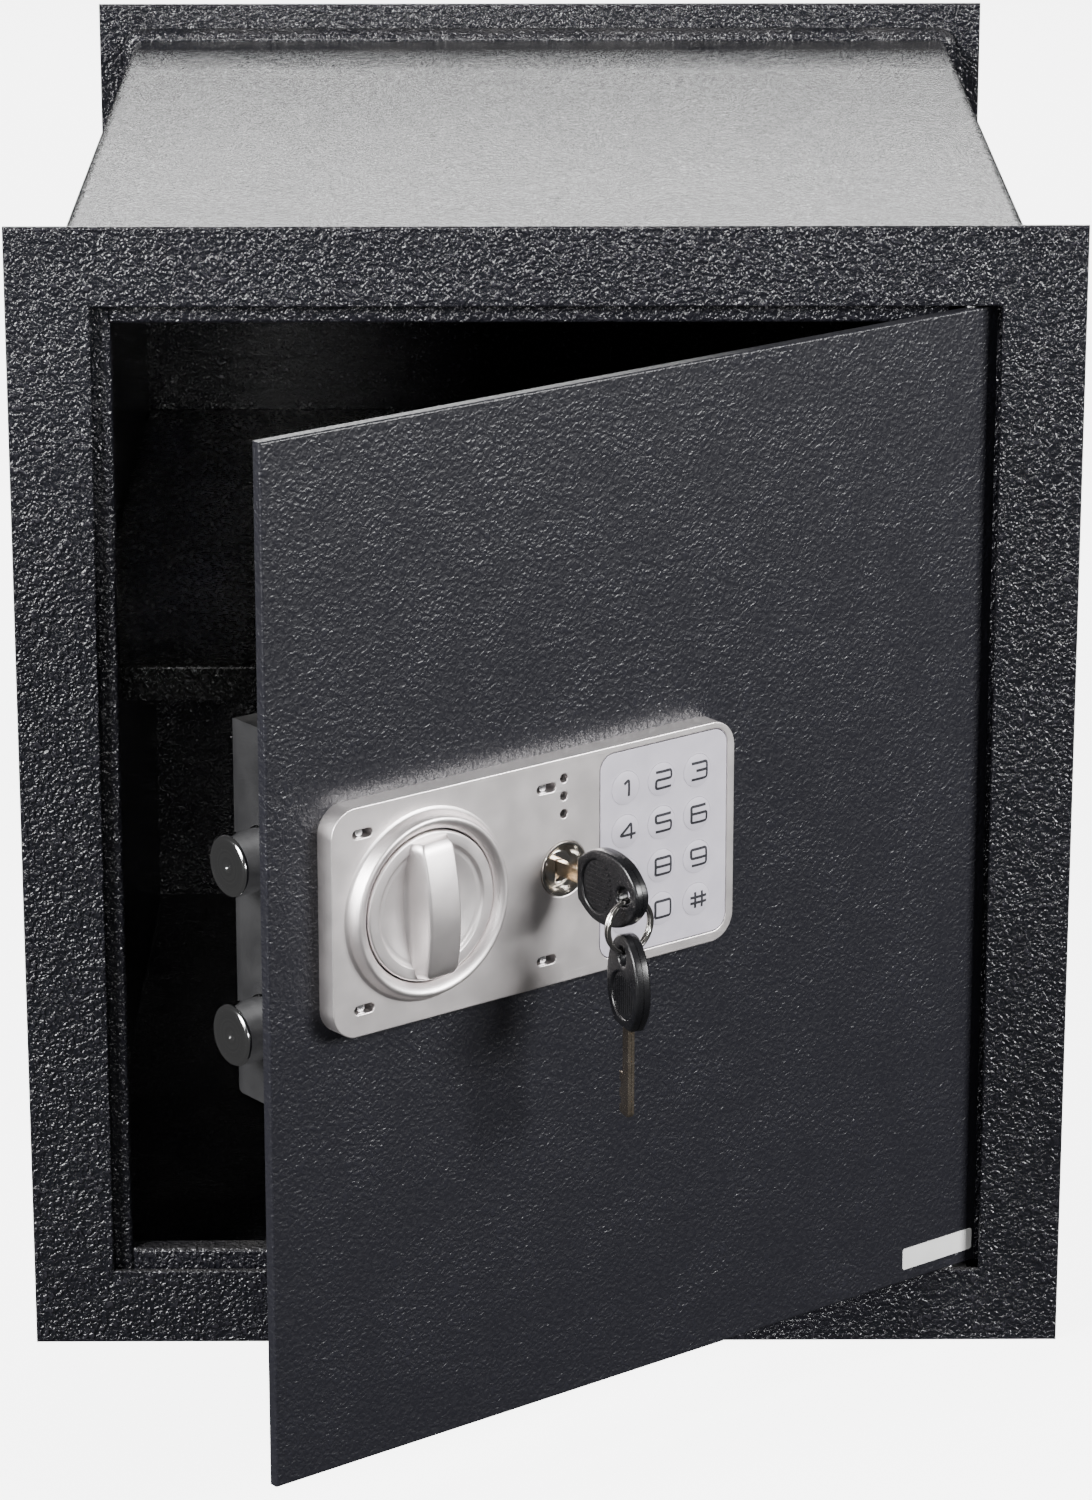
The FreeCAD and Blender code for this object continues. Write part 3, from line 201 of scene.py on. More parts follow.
def plate(outline, holes, front, back, edge):
    """A flat piece in X and Z with holes, from a front to a back level, its front edges rounded."""
    outline = outline if signed_area(outline) > 0 else outline[::-1]
    loops = [outline] + [hole if signed_area(hole) < 0 else hole[::-1] for hole in holes]
    rings = []
    for step in range(EDGE_STEPS + 1):
        a = step / EDGE_STEPS * math.pi / 2
        rings.append((edge * (1 - math.sin(a)), front + edge * (1 - math.cos(a))))
    rings.append((0, back))
    points, faces, starts = [], [], []
    for distance, level in rings:
        starts.append([])
        for loop in loops:
            starts[-1].append(len(points))
            points += [Vector((x, level, z)) for x, z in (inset(loop, distance) if distance else loop)]
    for row in range(len(rings) - 1):
        for number, loop in enumerate(loops):
            here, below, count = starts[row][number], starts[row + 1][number], len(loop)
            for index in range(count):
                following = (index + 1) % count
                faces.append([here + index, here + following, below + following, below + index])
    flat = [[Vector((x, z, 0)) for x, z in inset(loop, edge)] for loop in loops]
    last = starts[-1][0] - starts[0][0]
    for triangle in tessellate_polygon(flat):
        faces.append(list(triangle))
        faces.append([last + index for index in reversed(triangle)])
    return points, faces


def tube(path, radius, sides):
    """A round wire along a path of points, with flat ends."""
    loops = []
    side = Vector((0, 1, 0))
    for index, point in enumerate(path):
        ahead = path[min(index + 1, len(path) - 1)] - path[max(index - 1, 0)]
        across = ahead.cross(side).normalized()
        turn = [2 * math.pi * step / sides for step in range(sides)]
        loops.append([point + (across * math.cos(a) + side * math.sin(a)) * radius for a in turn])
    return skin(loops)


def ribbon(path, half_wide, height_at, lift):
    """A flat printed line along a path in X and Z, laid on the surface that height_at gives."""
    loops = []
    for index in range(len(path)):
        before = path[max(index - 1, 0)]
        after = path[min(index + 1, len(path) - 1)]
        ahead = (Vector(after) - Vector(before)).normalized()
        across = Vector((-ahead.y, ahead.x)) * half_wide
        here = Vector(path[index])
        loop = []
        for side, depth in ((1, 0), (1, lift), (0, lift * LINE_CROWN), (-1, lift), (-1, 0)):
            x, z = here + across * side
            loop.append(Vector((x, height_at(x, z) - depth, z)))
        loops.append(loop)
    return skin(loops)


def piece(name, form, body, material, place=DOOR, stands_for=(), sharp=35):
    """Makes one visible object from a form in millimetres and puts it on its body."""
    mesh = bpy.data.meshes.new(name)
    build = bmesh.new()
    corners = [build.verts.new(point * MM) for point in form[0]]
    for face in form[1]:
        if len(set(face)) > 2:
            build.faces.new([corners[index] for index in face])
    bmesh.ops.remove_doubles(build, verts=build.verts, dist=WELD)
    bmesh.ops.recalc_face_normals(build, faces=build.faces)
    build.to_mesh(mesh)
    build.free()
    mesh.shade_smooth()
    mesh.set_sharp_from_angle(angle=math.radians(sharp))
    mesh.materials.append(material)
    item = bpy.data.objects.new(name, mesh)
    bpy.context.scene.collection.objects.link(item)
    item.matrix_world = place
    weighted = item.modifiers.new("even_normals", "WEIGHTED_NORMAL")
    weighted.keep_sharp = True
    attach(item, body)
    if stands_for:
        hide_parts(*stands_for)
    return item


# ---------------------------------------------------------------- shader node groups
def new_group(name, inputs, outputs):
    """An empty shader node group with named sockets, and its two end nodes."""
    group = bpy.data.node_groups.new(name, "ShaderNodeTree")
    for label, kind, value in inputs:
        socket = group.interface.new_socket(label, in_out="INPUT", socket_type=kind)
        socket.default_value = value
    for label, kind in outputs:
        group.interface.new_socket(label, in_out="OUTPUT", socket_type=kind)
    return group, group.nodes.new("NodeGroupInput"), group.nodes.new("NodeGroupOutput")


def add_node(tree, kind, links=(), **settings):
    """Adds a node, sets its properties, and feeds its inputs: (input, socket or value) pairs."""
    node = tree.nodes.new(kind)
    for key, value in settings.items():
        setattr(node, key, value)
    for target, source in links:
        if isinstance(source, bpy.types.NodeSocket):
            tree.links.new(source, node.inputs[target])
        else:
            node.inputs[target].default_value = source
    return node


def maths(tree, operation, first, second):
    """A math node's result."""
    return add_node(tree, "ShaderNodeMath", [(0, first), (1, second)], operation=operation).outputs[0]


def mapped(tree, value, low, high, to_low=0.0, to_high=1.0):
    """A value moved from one range to another, kept inside the second."""
    links = [("Value", value), ("From Min", low), ("From Max", high),
             ("To Min", to_low), ("To Max", to_high)]
    return add_node(tree, "ShaderNodeMapRange", links).outputs["Result"]


def mixed(tree, share, first, second):
    """Two colours mixed."""
    node = tree.nodes.new("ShaderNodeMix")
    node.data_type = "RGBA"
    for target, source in ((0, share), (6, first), (7, second)):
        if isinstance(source, bpy.types.NodeSocket):
            tree.links.new(source, node.inputs[target])
        else:
            node.inputs[target].default_value = source
    return node.outputs[2]


def noise(tree, where, scale, detail, rough=0.5):
    """A noise texture."""
    links = [("Vector", where), ("Scale", scale), ("Detail", detail), ("Roughness", rough)]
    return add_node(tree, "ShaderNodeTexNoise", links)


def make_hammertone():
    """Hammertone paint: rounded cells that break up into pools and crests; colour follows height, with a
    painted highlight on the crests and painted shade in the pools.
    """
    colour, number = "NodeSocketColor", "NodeSocketFloat"
    group, entry, leave = new_group("hammertone", [
        ("Cells", number, 450.0),
        ("Pool", colour, (0.02, 0.02, 0.02, 1)), ("Crest", colour, (0.1, 0.1, 0.1, 1)),
        ("Gloss", number, 0.2), ("Matt", number, 0.4), ("Patches", number, 0.5)],
        [("Color", colour), ("Roughness", number), ("Height", number)])
    where = add_node(group, "ShaderNodeTexCoord").outputs["Object"]
    cells = entry.outputs["Cells"]
    drift = noise(group, where, maths(group, "MULTIPLY", cells, 0.55), 2.0)
    centred = add_node(group, "ShaderNodeVectorMath", [(0, drift.outputs["Color"]), (1, (0.5, 0.5, 0.5))],
                       operation="SUBTRACT").outputs[0]
    reach = maths(group, "DIVIDE", 1.6, cells)
    scaled = add_node(group, "ShaderNodeVectorMath", [(0, centred), ("Scale", reach)],
                      operation="SCALE").outputs[0]
    bent = add_node(group, "ShaderNodeVectorMath", [(0, where), (1, scaled)], operation="ADD").outputs[0]
    field = add_node(group, "ShaderNodeTexVoronoi",
                     [("Vector", bent), ("Scale", cells), ("Smoothness", 0.35)],
                     feature="SMOOTH_F1").outputs["Distance"]
    cell = mapped(group, field, 0.08, 0.62, 1.0, 0.0)
    lumps = noise(group, bent, maths(group, "MULTIPLY", cells, 1.15), 1.0).outputs["Fac"]
    blob = mapped(group, lumps, 0.34, 0.66)
    dome = maths(group, "ADD", maths(group, "MULTIPLY", cell, 0.3), maths(group, "MULTIPLY", blob, 0.7))
    patch = noise(group, where, maths(group, "MULTIPLY", cells, 0.09), 2.0).outputs["Fac"]
    thick = mapped(group, patch, 0.35, 0.65, maths(group, "SUBTRACT", 1.0, entry.outputs["Patches"]), 1.0)
    height = maths(group, "MULTIPLY", dome, thick)
    # Painted highlight and shade: the crest share lightens the high parts of each cell and leaves the pools
    # dark.
    crest = mapped(group, height, 0.45, 0.95)
    tone = mixed(group, crest, entry.outputs["Pool"], entry.outputs["Crest"])
    group.links.new(tone, leave.inputs["Color"])
    rough = mapped(group, dome, 0.0, 1.0, entry.outputs["Matt"], entry.outputs["Gloss"])
    group.links.new(rough, leave.inputs["Roughness"])
    group.links.new(height, leave.inputs["Height"])
    return group


def make_grain():
    """Fine even grain of cast, moulded or sprayed surfaces."""
    number = "NodeSocketFloat"
    group, entry, leave = new_group("grain", [("Scale", number, 900.0), ("Smooth", number, 0.3),
                                              ("Rough", number, 0.5)],
                                    [("Roughness", number), ("Height", number), ("Mask", number)])
    where = add_node(group, "ShaderNodeTexCoord").outputs["Object"]
    fine = noise(group, where, entry.outputs["Scale"], 4.0, 0.6).outputs["Fac"]
    broad = noise(group, where, maths(group, "MULTIPLY", entry.outputs["Scale"], 0.04), 3.0).outputs["Fac"]
    both = maths(group, "ADD", maths(group, "MULTIPLY", fine, 0.6), maths(group, "MULTIPLY", broad, 0.4))
    rough = mapped(group, both, 0.3, 0.7, entry.outputs["Smooth"], entry.outputs["Rough"])
    group.links.new(rough, leave.inputs["Roughness"])
    group.links.new(fine, leave.inputs["Height"])
    group.links.new(broad, leave.inputs["Mask"])
    return group


def make_dust():
    """Thin dust on what faces up."""
    number, colour = "NodeSocketFloat", "NodeSocketColor"
    group, entry, leave = new_group("dust", [("Color", colour, (0.1, 0.1, 0.1, 1)), ("Amount", number, 0.2)],
                                    [("Color", colour)])
    where = add_node(group, "ShaderNodeTexCoord").outputs["Object"]
    normal = add_node(group, "ShaderNodeNewGeometry").outputs["Normal"]
    up = add_node(group, "ShaderNodeSeparateXYZ", [("Vector", normal)]).outputs["Z"]
    facing = mapped(group, up, 0.2, 1.0)
    cloud = mapped(group, noise(group, where, 28.0, 5.0, 0.65).outputs["Fac"], 0.35, 0.75)
    share = maths(group, "MULTIPLY", maths(group, "MULTIPLY", facing, cloud), entry.outputs["Amount"])
    group.links.new(mixed(group, share, entry.outputs["Color"], (0.55, 0.53, 0.5, 1)), leave.inputs["Color"])
    return group


def make_turned():
    """Fine rings left by a lathe, about the object's own Y axis."""
    number = "NodeSocketFloat"
    group, entry, leave = new_group("turned", [("Rings", number, 900.0), ("Smooth", number, 0.08),
                                               ("Rough", number, 0.22)],
                                    [("Roughness", number), ("Height", number)])
    where = add_node(group, "ShaderNodeTexCoord").outputs["Object"]
    parts = add_node(group, "ShaderNodeSeparateXYZ", [("Vector", where)])
    flat = add_node(group, "ShaderNodeCombineXYZ", [("X", parts.outputs["X"]), ("Y", parts.outputs["Z"])])
    radius = add_node(group, "ShaderNodeVectorMath", [(0, flat.outputs[0])],
                      operation="LENGTH").outputs["Value"]
    line = add_node(group, "ShaderNodeCombineXYZ", [("X", radius), ("Y", parts.outputs["Y"])]).outputs[0]
    rings = noise(group, line, entry.outputs["Rings"], 3.0, 0.6).outputs["Fac"]
    rough = mapped(group, rings, 0.3, 0.7, entry.outputs["Smooth"], entry.outputs["Rough"])
    group.links.new(rough, leave.inputs["Roughness"])
    group.links.new(rings, leave.inputs["Height"])
    return group


HAMMERTONE, GRAIN, DUST, TURNED = make_hammertone(), make_grain(), make_dust(), make_turned()


# ---------------------------------------------------------------- materials
def placed_group(tree, group, **values):
    """One use of a shader group, with its own values: Base_Color sets the socket Base Color."""
    node = tree.nodes.new("ShaderNodeGroup")
    node.node_tree = group
    for label, value in values.items():
        node.inputs[label.replace("_", " ")].default_value = value
    return node


def new_material(name, metallic=0.0, coat=0.0, coat_rough=0.1):
    """A material with a Principled BSDF, and that shader."""
    material = bpy.data.materials.new(name)
    material.use_nodes = True
    shader = material.node_tree.nodes["Principled BSDF"]
    shader.inputs["Metallic"].default_value = metallic
    shader.inputs["Coat Weight"].default_value = coat
    shader.inputs["Coat Roughness"].default_value = coat_rough
    shader.inputs["IOR"].default_value = IOR
    return material, material.node_tree, shader


def bump(tree, shader, height, distance):
    """Feeds a height into the shader's normal; its whole range is a distance in metres."""
    node = add_node(tree, "ShaderNodeBump", [("Height", height), ("Distance", distance), ("Strength", 1.0)])
    tree.links.new(node.outputs["Normal"], shader.inputs["Normal"])


def paint_hammertone(name, cells, pool_shade, crest, gloss, matt, depth, patches, dusty=0.1, coat=0.25):
    """A hammertone paint of one cell size and colour, with painted shade in its pools and a painted
    highlight on its crests.
    """
    material, tree, shader = new_material(name, coat=coat, coat_rough=0.12)
    # The first colour is painted shade for the pools and the second a painted highlight for the crests.
    field = placed_group(tree, HAMMERTONE, Cells=cells, Pool=(*pool_shade, 1), Crest=(*crest, 1),
                         Gloss=gloss, Matt=matt, Patches=patches)
    dust = placed_group(tree, DUST, Amount=dusty)
    tree.links.new(field.outputs["Color"], dust.inputs["Color"])
    tree.links.new(dust.outputs["Color"], shader.inputs["Base Color"])
    tree.links.new(field.outputs["Roughness"], shader.inputs["Roughness"])
    bump(tree, shader, field.outputs["Height"], depth)
    return material


def grained(name, dark, light, smooth, rough, scale, depth, metallic=0.0, coat=0.0, dusty=0.0):
    """A cast, moulded or sprayed surface with fine grain and a slight change of tone."""
    material, tree, shader = new_material(name, metallic, coat)
    field = placed_group(tree, GRAIN, Scale=scale, Smooth=smooth, Rough=rough)
    tone = mixed(tree, mapped(tree, field.outputs["Mask"], 0.35, 0.65), (*dark, 1), (*light, 1))
    if dusty:
        dust = placed_group(tree, DUST, Amount=dusty)
        tree.links.new(tone, dust.inputs["Color"])
        tone = dust.outputs["Color"]
    tree.links.new(tone, shader.inputs["Base Color"])
    tree.links.new(field.outputs["Roughness"], shader.inputs["Roughness"])
    bump(tree, shader, field.outputs["Height"], depth)
    return material


def turned_metal(name, dark, light, smooth, rough, rings, depth):
    """Bright metal with lathe rings about its own axis."""
    material, tree, shader = new_material(name, 1.0)
    field = placed_group(tree, TURNED, Rings=rings, Smooth=smooth, Rough=rough)
    tone = mixed(tree, mapped(tree, field.outputs["Height"], 0.3, 0.7), (*dark, 1), (*light, 1))
    tree.links.new(tone, shader.inputs["Base Color"])
    tree.links.new(field.outputs["Roughness"], shader.inputs["Roughness"])
    bump(tree, shader, field.outputs["Height"], depth)
    return material


# In each hammertone below, the first colour is painted shade for the pools and the second a painted
# highlight for the crests.
CHARCOAL = paint_hammertone("charcoal_hammertone", 560.0, (0.008, 0.008, 0.011), (0.024, 0.023, 0.028),
                            0.12, 0.26, 0.00070, 0.12)
# The parts inside the safe get a darker copy of the charcoal hammertone: its darker colours are painted
# shade for where they sit.
INSIDE_SHADED = paint_hammertone("inside_hammertone_shaded", 560.0, (0.004, 0.004, 0.004), (0.02, 0.02, 0.021),
                          0.15, 0.34, 0.00085, 0.2)
DOOR_PAINT = paint_hammertone("door_hammertone", 560.0, (0.011, 0.011, 0.015), (0.018, 0.018, 0.024),
                              0.30, 0.42, 0.00022, 0.4, 0.02, coat=0.03)
COVER_BLACK = grained("cover_black", (0.012, 0.012, 0.013), (0.022, 0.022, 0.023), 0.38, 0.55, 1500.0,
                      0.00003, dusty=0.08)
SILVER = grained("silver_casting", (0.90, 0.855, 0.85), (0.96, 0.91, 0.905), 0.38, 0.48, 2200.0, 0.00004,
                 metallic=1.0, coat=0.05)
FILM = grained("keypad_film_grey", (0.52, 0.495, 0.56), (0.58, 0.55, 0.62), 0.40, 0.52, 2600.0, 0.00001)
PRINT = grained("print_dark", (0.008, 0.008, 0.012), (0.014, 0.014, 0.02), 0.6, 0.8, 3000.0, 0.000005)
LENS = grained("lamp_dark", (0.004, 0.003, 0.003), (0.008, 0.004, 0.004), 0.35, 0.5, 600.0, 0.000004)
PLASTIC = grained("bow_plastic", (0.004, 0.004, 0.005), (0.008, 0.008, 0.009), 0.22, 0.34, 2400.0, 0.00001)
ZINC = grained("zinc_plate", (0.48, 0.48, 0.50), (0.60, 0.60, 0.60), 0.22, 0.38, 1200.0, 0.00001,
               metallic=1.0)
WIRE = grained("ring_nickel", (0.62, 0.60, 0.57), (0.72, 0.70, 0.67), 0.10, 0.22, 1800.0, 0.00001,
               metallic=1.0)
BRASS = grained("key_brass", (0.66, 0.55, 0.42), (0.76, 0.66, 0.54), 0.16, 0.32, 1600.0, 0.00001,
                metallic=1.0)
BOARD = grained("board_green", (0.012, 0.07, 0.03), (0.02, 0.10, 0.045), 0.25, 0.4, 800.0, 0.00001)
SLEEVE = grained("cell_sleeve", (0.02, 0.03, 0.12), (0.03, 0.045, 0.17), 0.15, 0.3, 500.0, 0.00001, coat=0.3)
RED = grained("reset_red", (0.45, 0.02, 0.015), (0.55, 0.035, 0.025), 0.25, 0.4, 900.0, 0.00001)
PAPER = grained("label_paper", (0.70, 0.70, 0.69), (0.78, 0.78, 0.77), 0.5, 0.7, 1400.0, 0.00001)
CHROME = turned_metal("bolt_chrome", (0.70, 0.70, 0.71), (0.80, 0.80, 0.80), 0.06, 0.16, 1500.0, 0.000006)
NICKEL = turned_metal("lock_nickel", (0.64, 0.61, 0.57), (0.74, 0.71, 0.67), 0.10, 0.22, 1800.0, 0.000006)

NODE_PAINT = {
    "front_flange": CHARCOAL, "body_shell": CHARCOAL, "rear_plate": CHARCOAL, "rear_weld_bead": CHARCOAL,
    "stop_left": CHARCOAL, "stop_right": CHARCOAL, "stop_top": CHARCOAL, "stop_bottom": CHARCOAL,
    "bolt_keeper": INSIDE_SHADED, "shelf": INSIDE_SHADED, "shelf_rail_left": INSIDE_SHADED, "shelf_rail_right": INSIDE_SHADED,
    "hinge_bushes": ZINC, "hinge_pins": ZINC, "door_plate": DOOR_PAINT, "circuit_board": BOARD,
    "panel_screws": ZINC, "blank_label": PAPER, "bolt_guide": ZINC, "solenoid_body": ZINC,
    "solenoid_plunger": ZINC, "lock_cover": COVER_BLACK, "battery_box": PLASTIC, "battery_cells": SLEEVE,
    "knob_spindle": ZINC, "bolt_carriage": ZINC, "lock_barrel": ZINC}


def dress_nodes():
    """Gives every CAD node that stays its material."""
    for node, material in NODE_PAINT.items():
        mesh = frame["nodes"][node].data
        mesh.materials.clear()
        mesh.materials.append(material)


# ---------------------------------------------------------------- lock panel
PANEL_LOW, PANEL_HIGH = local_box("lock_panel")
FACE = local_box("keypad_film")[0].y
KNOB = joint_spot("knob_turn")
LOCK = joint_spot("plug_turn")
PANEL_CORNER, PANEL_EDGE = 10.0, 0.35
SLOT_LONG, SLOT_HIGH, PANEL_SCREW_HEAD = 8.3, 3.2, 1.5
LAMP_HOLE = 1.6
LAMP_SHARES = (0.0, 0.5, 1.0)
DISH_RADIUS = 10.0
KNOB_BORE = 27.2
KNOB_TILT = math.radians(-2.5)
POCKET_CORNER, POCKET_GAP = 6.0, 0.3
FILM_CORNER, FILM_EDGE = 5.7, 0.12
FIT_GAP = 0.05
KEY_NAMES = ["1", "2", "3", "4", "5", "6", "7", "8", "9", "star", "0", "hash"]


def make_panel():
    """The silver casting: a slab with its holes, and the raised ring round the knob."""
    film_low, film_high = local_box("keypad_film")
    lamps_low, lamps_high = local_box("lamp_lenses")
    screws_low, screws_high = local_box("panel_screws")
    holes = []
    lamp_x = (lamps_low.x + lamps_high.x) / 2
    for share in LAMP_SHARES:
        level = lamps_low.z + LAMP_HOLE + share * (lamps_high.z - lamps_low.z - 2 * LAMP_HOLE)
        holes.append(circle(lamp_x, level, LAMP_HOLE, 24))
    head, reach, half = PANEL_SCREW_HEAD, SLOT_LONG / 2, SLOT_HIGH / 2
    for x in (screws_low.x + head, screws_high.x - head):
        for z in (screws_low.z + head, screws_high.z - head):
            holes.append(rounded(x - reach, x + reach, z - half, z + half, half - 0.01))
    holes += [circle(LOCK.x, LOCK.z, DISH_RADIUS + FIT_GAP, 64), circle(KNOB.x, KNOB.z, KNOB_BORE, 96)]
    holes.append(rounded(film_low.x - POCKET_GAP, film_high.x + POCKET_GAP, film_low.z - POCKET_GAP,
                         film_high.z + POCKET_GAP, POCKET_CORNER))
    outline = rounded(PANEL_LOW.x, PANEL_HIGH.x, PANEL_LOW.z, PANEL_HIGH.z, PANEL_CORNER, 12)
    slab = plate(outline, holes, FACE, PANEL_HIGH.y, PANEL_EDGE)
    crest = PANEL_LOW.y
    profile = [(KNOB_BORE, FACE + 3.0), (KNOB_BORE, crest + 3.2), (27.5, crest + 2.4), (28.6, crest + 1.1),
               (29.6, crest + 0.35), (30.3, crest + 0.05), (31.0, crest), (31.6, crest + 0.2),
               (32.0, crest + 0.7),
               (32.6, crest + 2.2), (33.2, FACE - 0.9), (33.7, FACE - 0.3), (34.6, FACE - 0.02),
               (34.6, FACE + 0.5)]
    ring = moved(lathe(profile, 128, closed=True), Matrix.Translation((KNOB.x, 0, KNOB.z)))
    piece("panel_casting", joined(slab, ring), "door", SILVER, stands_for=["lock_panel"])


def make_film():
    """The keypad film, inset in the casting, with a moulded rim at each key."""
    low, high = local_box("keypad_film")
    holes, rims = [], []
    for name in KEY_NAMES:
        key_low, key_high = local_box("key_" + name)
        x, z = (key_low.x + key_high.x) / 2, (key_low.z + key_high.z) / 2
        radius = (key_high.x - key_low.x) / 2
        holes.append(circle(x, z, radius + FIT_GAP))
        profile = [(radius + 0.06, FACE + 0.05), (radius + 0.12, FACE - 0.05), (radius + 0.35, FACE - 0.06),
                   (radius + 0.7, FACE + 0.02)]
        rims.append(moved(lathe(profile, 48, closed=True), Matrix.Translation((x, 0, z))))
    film = plate(rounded(low.x, high.x, low.z, high.z, FILM_CORNER), holes, low.y, high.y, FILM_EDGE)
    piece("keypad_skin", joined(film, *rims), "door", FILM, stands_for=["keypad_film"])


# ---------------------------------------------------------------- keypad keys and their digits
DIGIT_WIDE, DIGIT_TALL, DIGIT_LINE = 3.9, 3.0, 0.50
DIGIT_SHIFT, DIGIT_CORNER, DIGIT_LIFT = 0.6, 0.9, 0.035
STROKE_STEP, CORNER_STEPS = 0.5, 4
DOME_STEPS, DOME_POWER, DOME_SINK = 12, 1.3, 0.1
KEY_SKIRT, KEY_STEM = 1.0, 2.0
BOX = [(-0.9, -1), (0.9, -1), (0.9, 1), (-0.9, 1)]
DIGITS = {
    "0": [BOX + [BOX[0]]],
    "1": [[(-0.45, 0.55), (0.1, 1), (0.1, -1)]],
    "2": [[(-0.9, 1), (0.9, 1), (0.9, 0.05), (-0.9, 0.05), (-0.9, -1), (0.9, -1)]],
    "3": [[(-0.9, 1), (0.9, 1), (0.9, -1), (-0.9, -1)], [(-0.4, 0.05), (0.9, 0.05)]],
    "4": [[(0.4, -1), (0.4, 1), (-0.9, -0.4), (0.95, -0.4)]],
    "5": [[(0.9, 1), (-0.9, 1), (-0.9, 0.1), (0.9, 0.1), (0.9, -1), (-0.9, -1)]],
    "6": [[(0.8, 1), (-0.9, 1), (-0.9, -1), (0.9, -1), (0.9, 0.1), (-0.9, 0.1)]],
    "7": [[(-0.9, 1), (0.9, 1), (-0.2, -1)]],
    "8": [BOX + [BOX[0]], [(-0.9, 0), (0.9, 0)]],
    "9": [[(-0.8, -1), (0.9, -1), (0.9, 1), (-0.9, 1), (-0.9, -0.1), (0.9, -0.1)]],
    "star": [[(0, 0.8), (0, -0.8)], [(-0.8, 0.4), (0.8, -0.4)], [(-0.8, -0.4), (0.8, 0.4)]],
    "hash": [[(-0.4, 1), (-0.4, -1)], [(0.4, 1), (0.4, -1)], [(-0.95, 0.35), (0.95, 0.35)],
             [(-0.95, -0.35), (0.95, -0.35)]]}


def soft_corners(points, radius):
    """A line through points with its inner corners rounded and its runs divided."""
    out = [Vector(points[0])]
    for before, here, after in zip(points, points[1:], points[2:]):
        before, here, after = Vector(before), Vector(here), Vector(after)
        reach = min(radius, (here - before).length / 2, (after - here).length / 2)
        start = here + (before - here).normalized() * reach
        end = here + (after - here).normalized() * reach
        for step in range(CORNER_STEPS + 1):
            t = step / CORNER_STEPS
            out.append(start * (1 - t) ** 2 + here * 2 * t * (1 - t) + end * t * t)
    out.append(Vector(points[-1]))
    fine = []
    for start, end in zip(out, out[1:]):
        parts = max(1, math.ceil((end - start).length / STROKE_STEP))
        fine += [start.lerp(end, part / parts) for part in range(parts)]
    return fine + [out[-1]]


def make_keys_of_pad():
    """Twelve domed keys, each with its printed sign."""
    for name in KEY_NAMES:
        low, high = local_box("key_" + name)
        x, z = (low.x + high.x) / 2, (low.z + high.z) / 2
        radius = (high.x - low.x) / 2
        crown = low.y

        def dome(px, pz):
            """The dome's level at a point from the key's centre."""
            share = min(1.0, (px * px + pz * pz) / (radius * radius))
            return crown + (FACE - DOME_SINK - crown) * share ** DOME_POWER

        profile = [(AXIS, crown)]
        for step in range(1, DOME_STEPS + 1):
            distance = radius * step / DOME_STEPS
            profile.append((distance, dome(distance, 0)))
        profile += [(radius, FACE + KEY_SKIRT), (KEY_STEM, FACE + KEY_SKIRT), (KEY_STEM, high.y),
                    (AXIS, high.y)]
        centre = at(x, 0, z)
        body = "pad_key_" + name
        piece("pad_dome_" + name, lathe(profile, 48), body, FILM, centre, ["key_" + name])
        lines = []
        for stroke in DIGITS[name]:
            path = [(DIGIT_SHIFT + px * DIGIT_WIDE, pz * DIGIT_TALL) for px, pz in stroke]
            lines.append(ribbon(soft_corners(path, DIGIT_CORNER), DIGIT_LINE, dome, DIGIT_LIFT))
        piece("pad_print_" + name, joined(*lines), body, PRINT, centre)


def make_lamps():
    """Three dark lamp lenses with domed fronts."""
    low, high = local_box("lamp_lenses")
    radius = (high.x - low.x) / 2
    lenses = []
    for share in LAMP_SHARES:
        level = low.z + radius + share * (high.z - low.z - 2 * radius)
        profile = [(AXIS, low.y), (radius * 0.5, low.y + 0.12), (radius * 0.85, low.y + 0.4),
                   (radius, low.y + 0.9), (radius, high.y), (AXIS, high.y)]
        lenses.append(moved(lathe(profile, 24), Matrix.Translation(((low.x + high.x) / 2, 0, level))))
    piece("lamp_domes", joined(*lenses), "door", LENS, stands_for=["lamp_lenses"])


# ---------------------------------------------------------------- knob
GRIP_HALF_WIDE, GRIP_HALF_LONG, GRIP_ARCH = 6.65, 24.5, 3.5
GRIP_END_FROM, GRIP_END_PART = 0.88, 0.12
GRIP_NARROWS, GRIP_DROPS = 0.16, 0.9
GRIP_STATIONS = 16
RIM_PROUD = 3.2


def grip_section(share, disc, crest):
    """Points across the grip at a share of its half length, foot to crest to foot."""
    end = max(0.0, (abs(share) - GRIP_END_FROM) / GRIP_END_PART)
    half = GRIP_HALF_WIDE * (1 - GRIP_NARROWS * end * end)
    top = crest + GRIP_ARCH * share * share + GRIP_DROPS * end * end
    side = [(half + 3.6, disc + 0.4), (half + 2.9, disc - 0.2), (half + 2.2, disc - 1.0),
            (half + 1.5, disc - 2.6), (half + 0.5, top + 2.4), (half, top + 0.9),
            (half - 0.4, top + 0.35), (half - 1.1, top + 0.05), (half * 0.3, top)]
    level = share * GRIP_HALF_LONG
    right = [Vector((x, min(y, disc + 0.4), level)) for x, y in side]
    return right + [Vector((-point.x, point.y, level)) for point in reversed(right)]


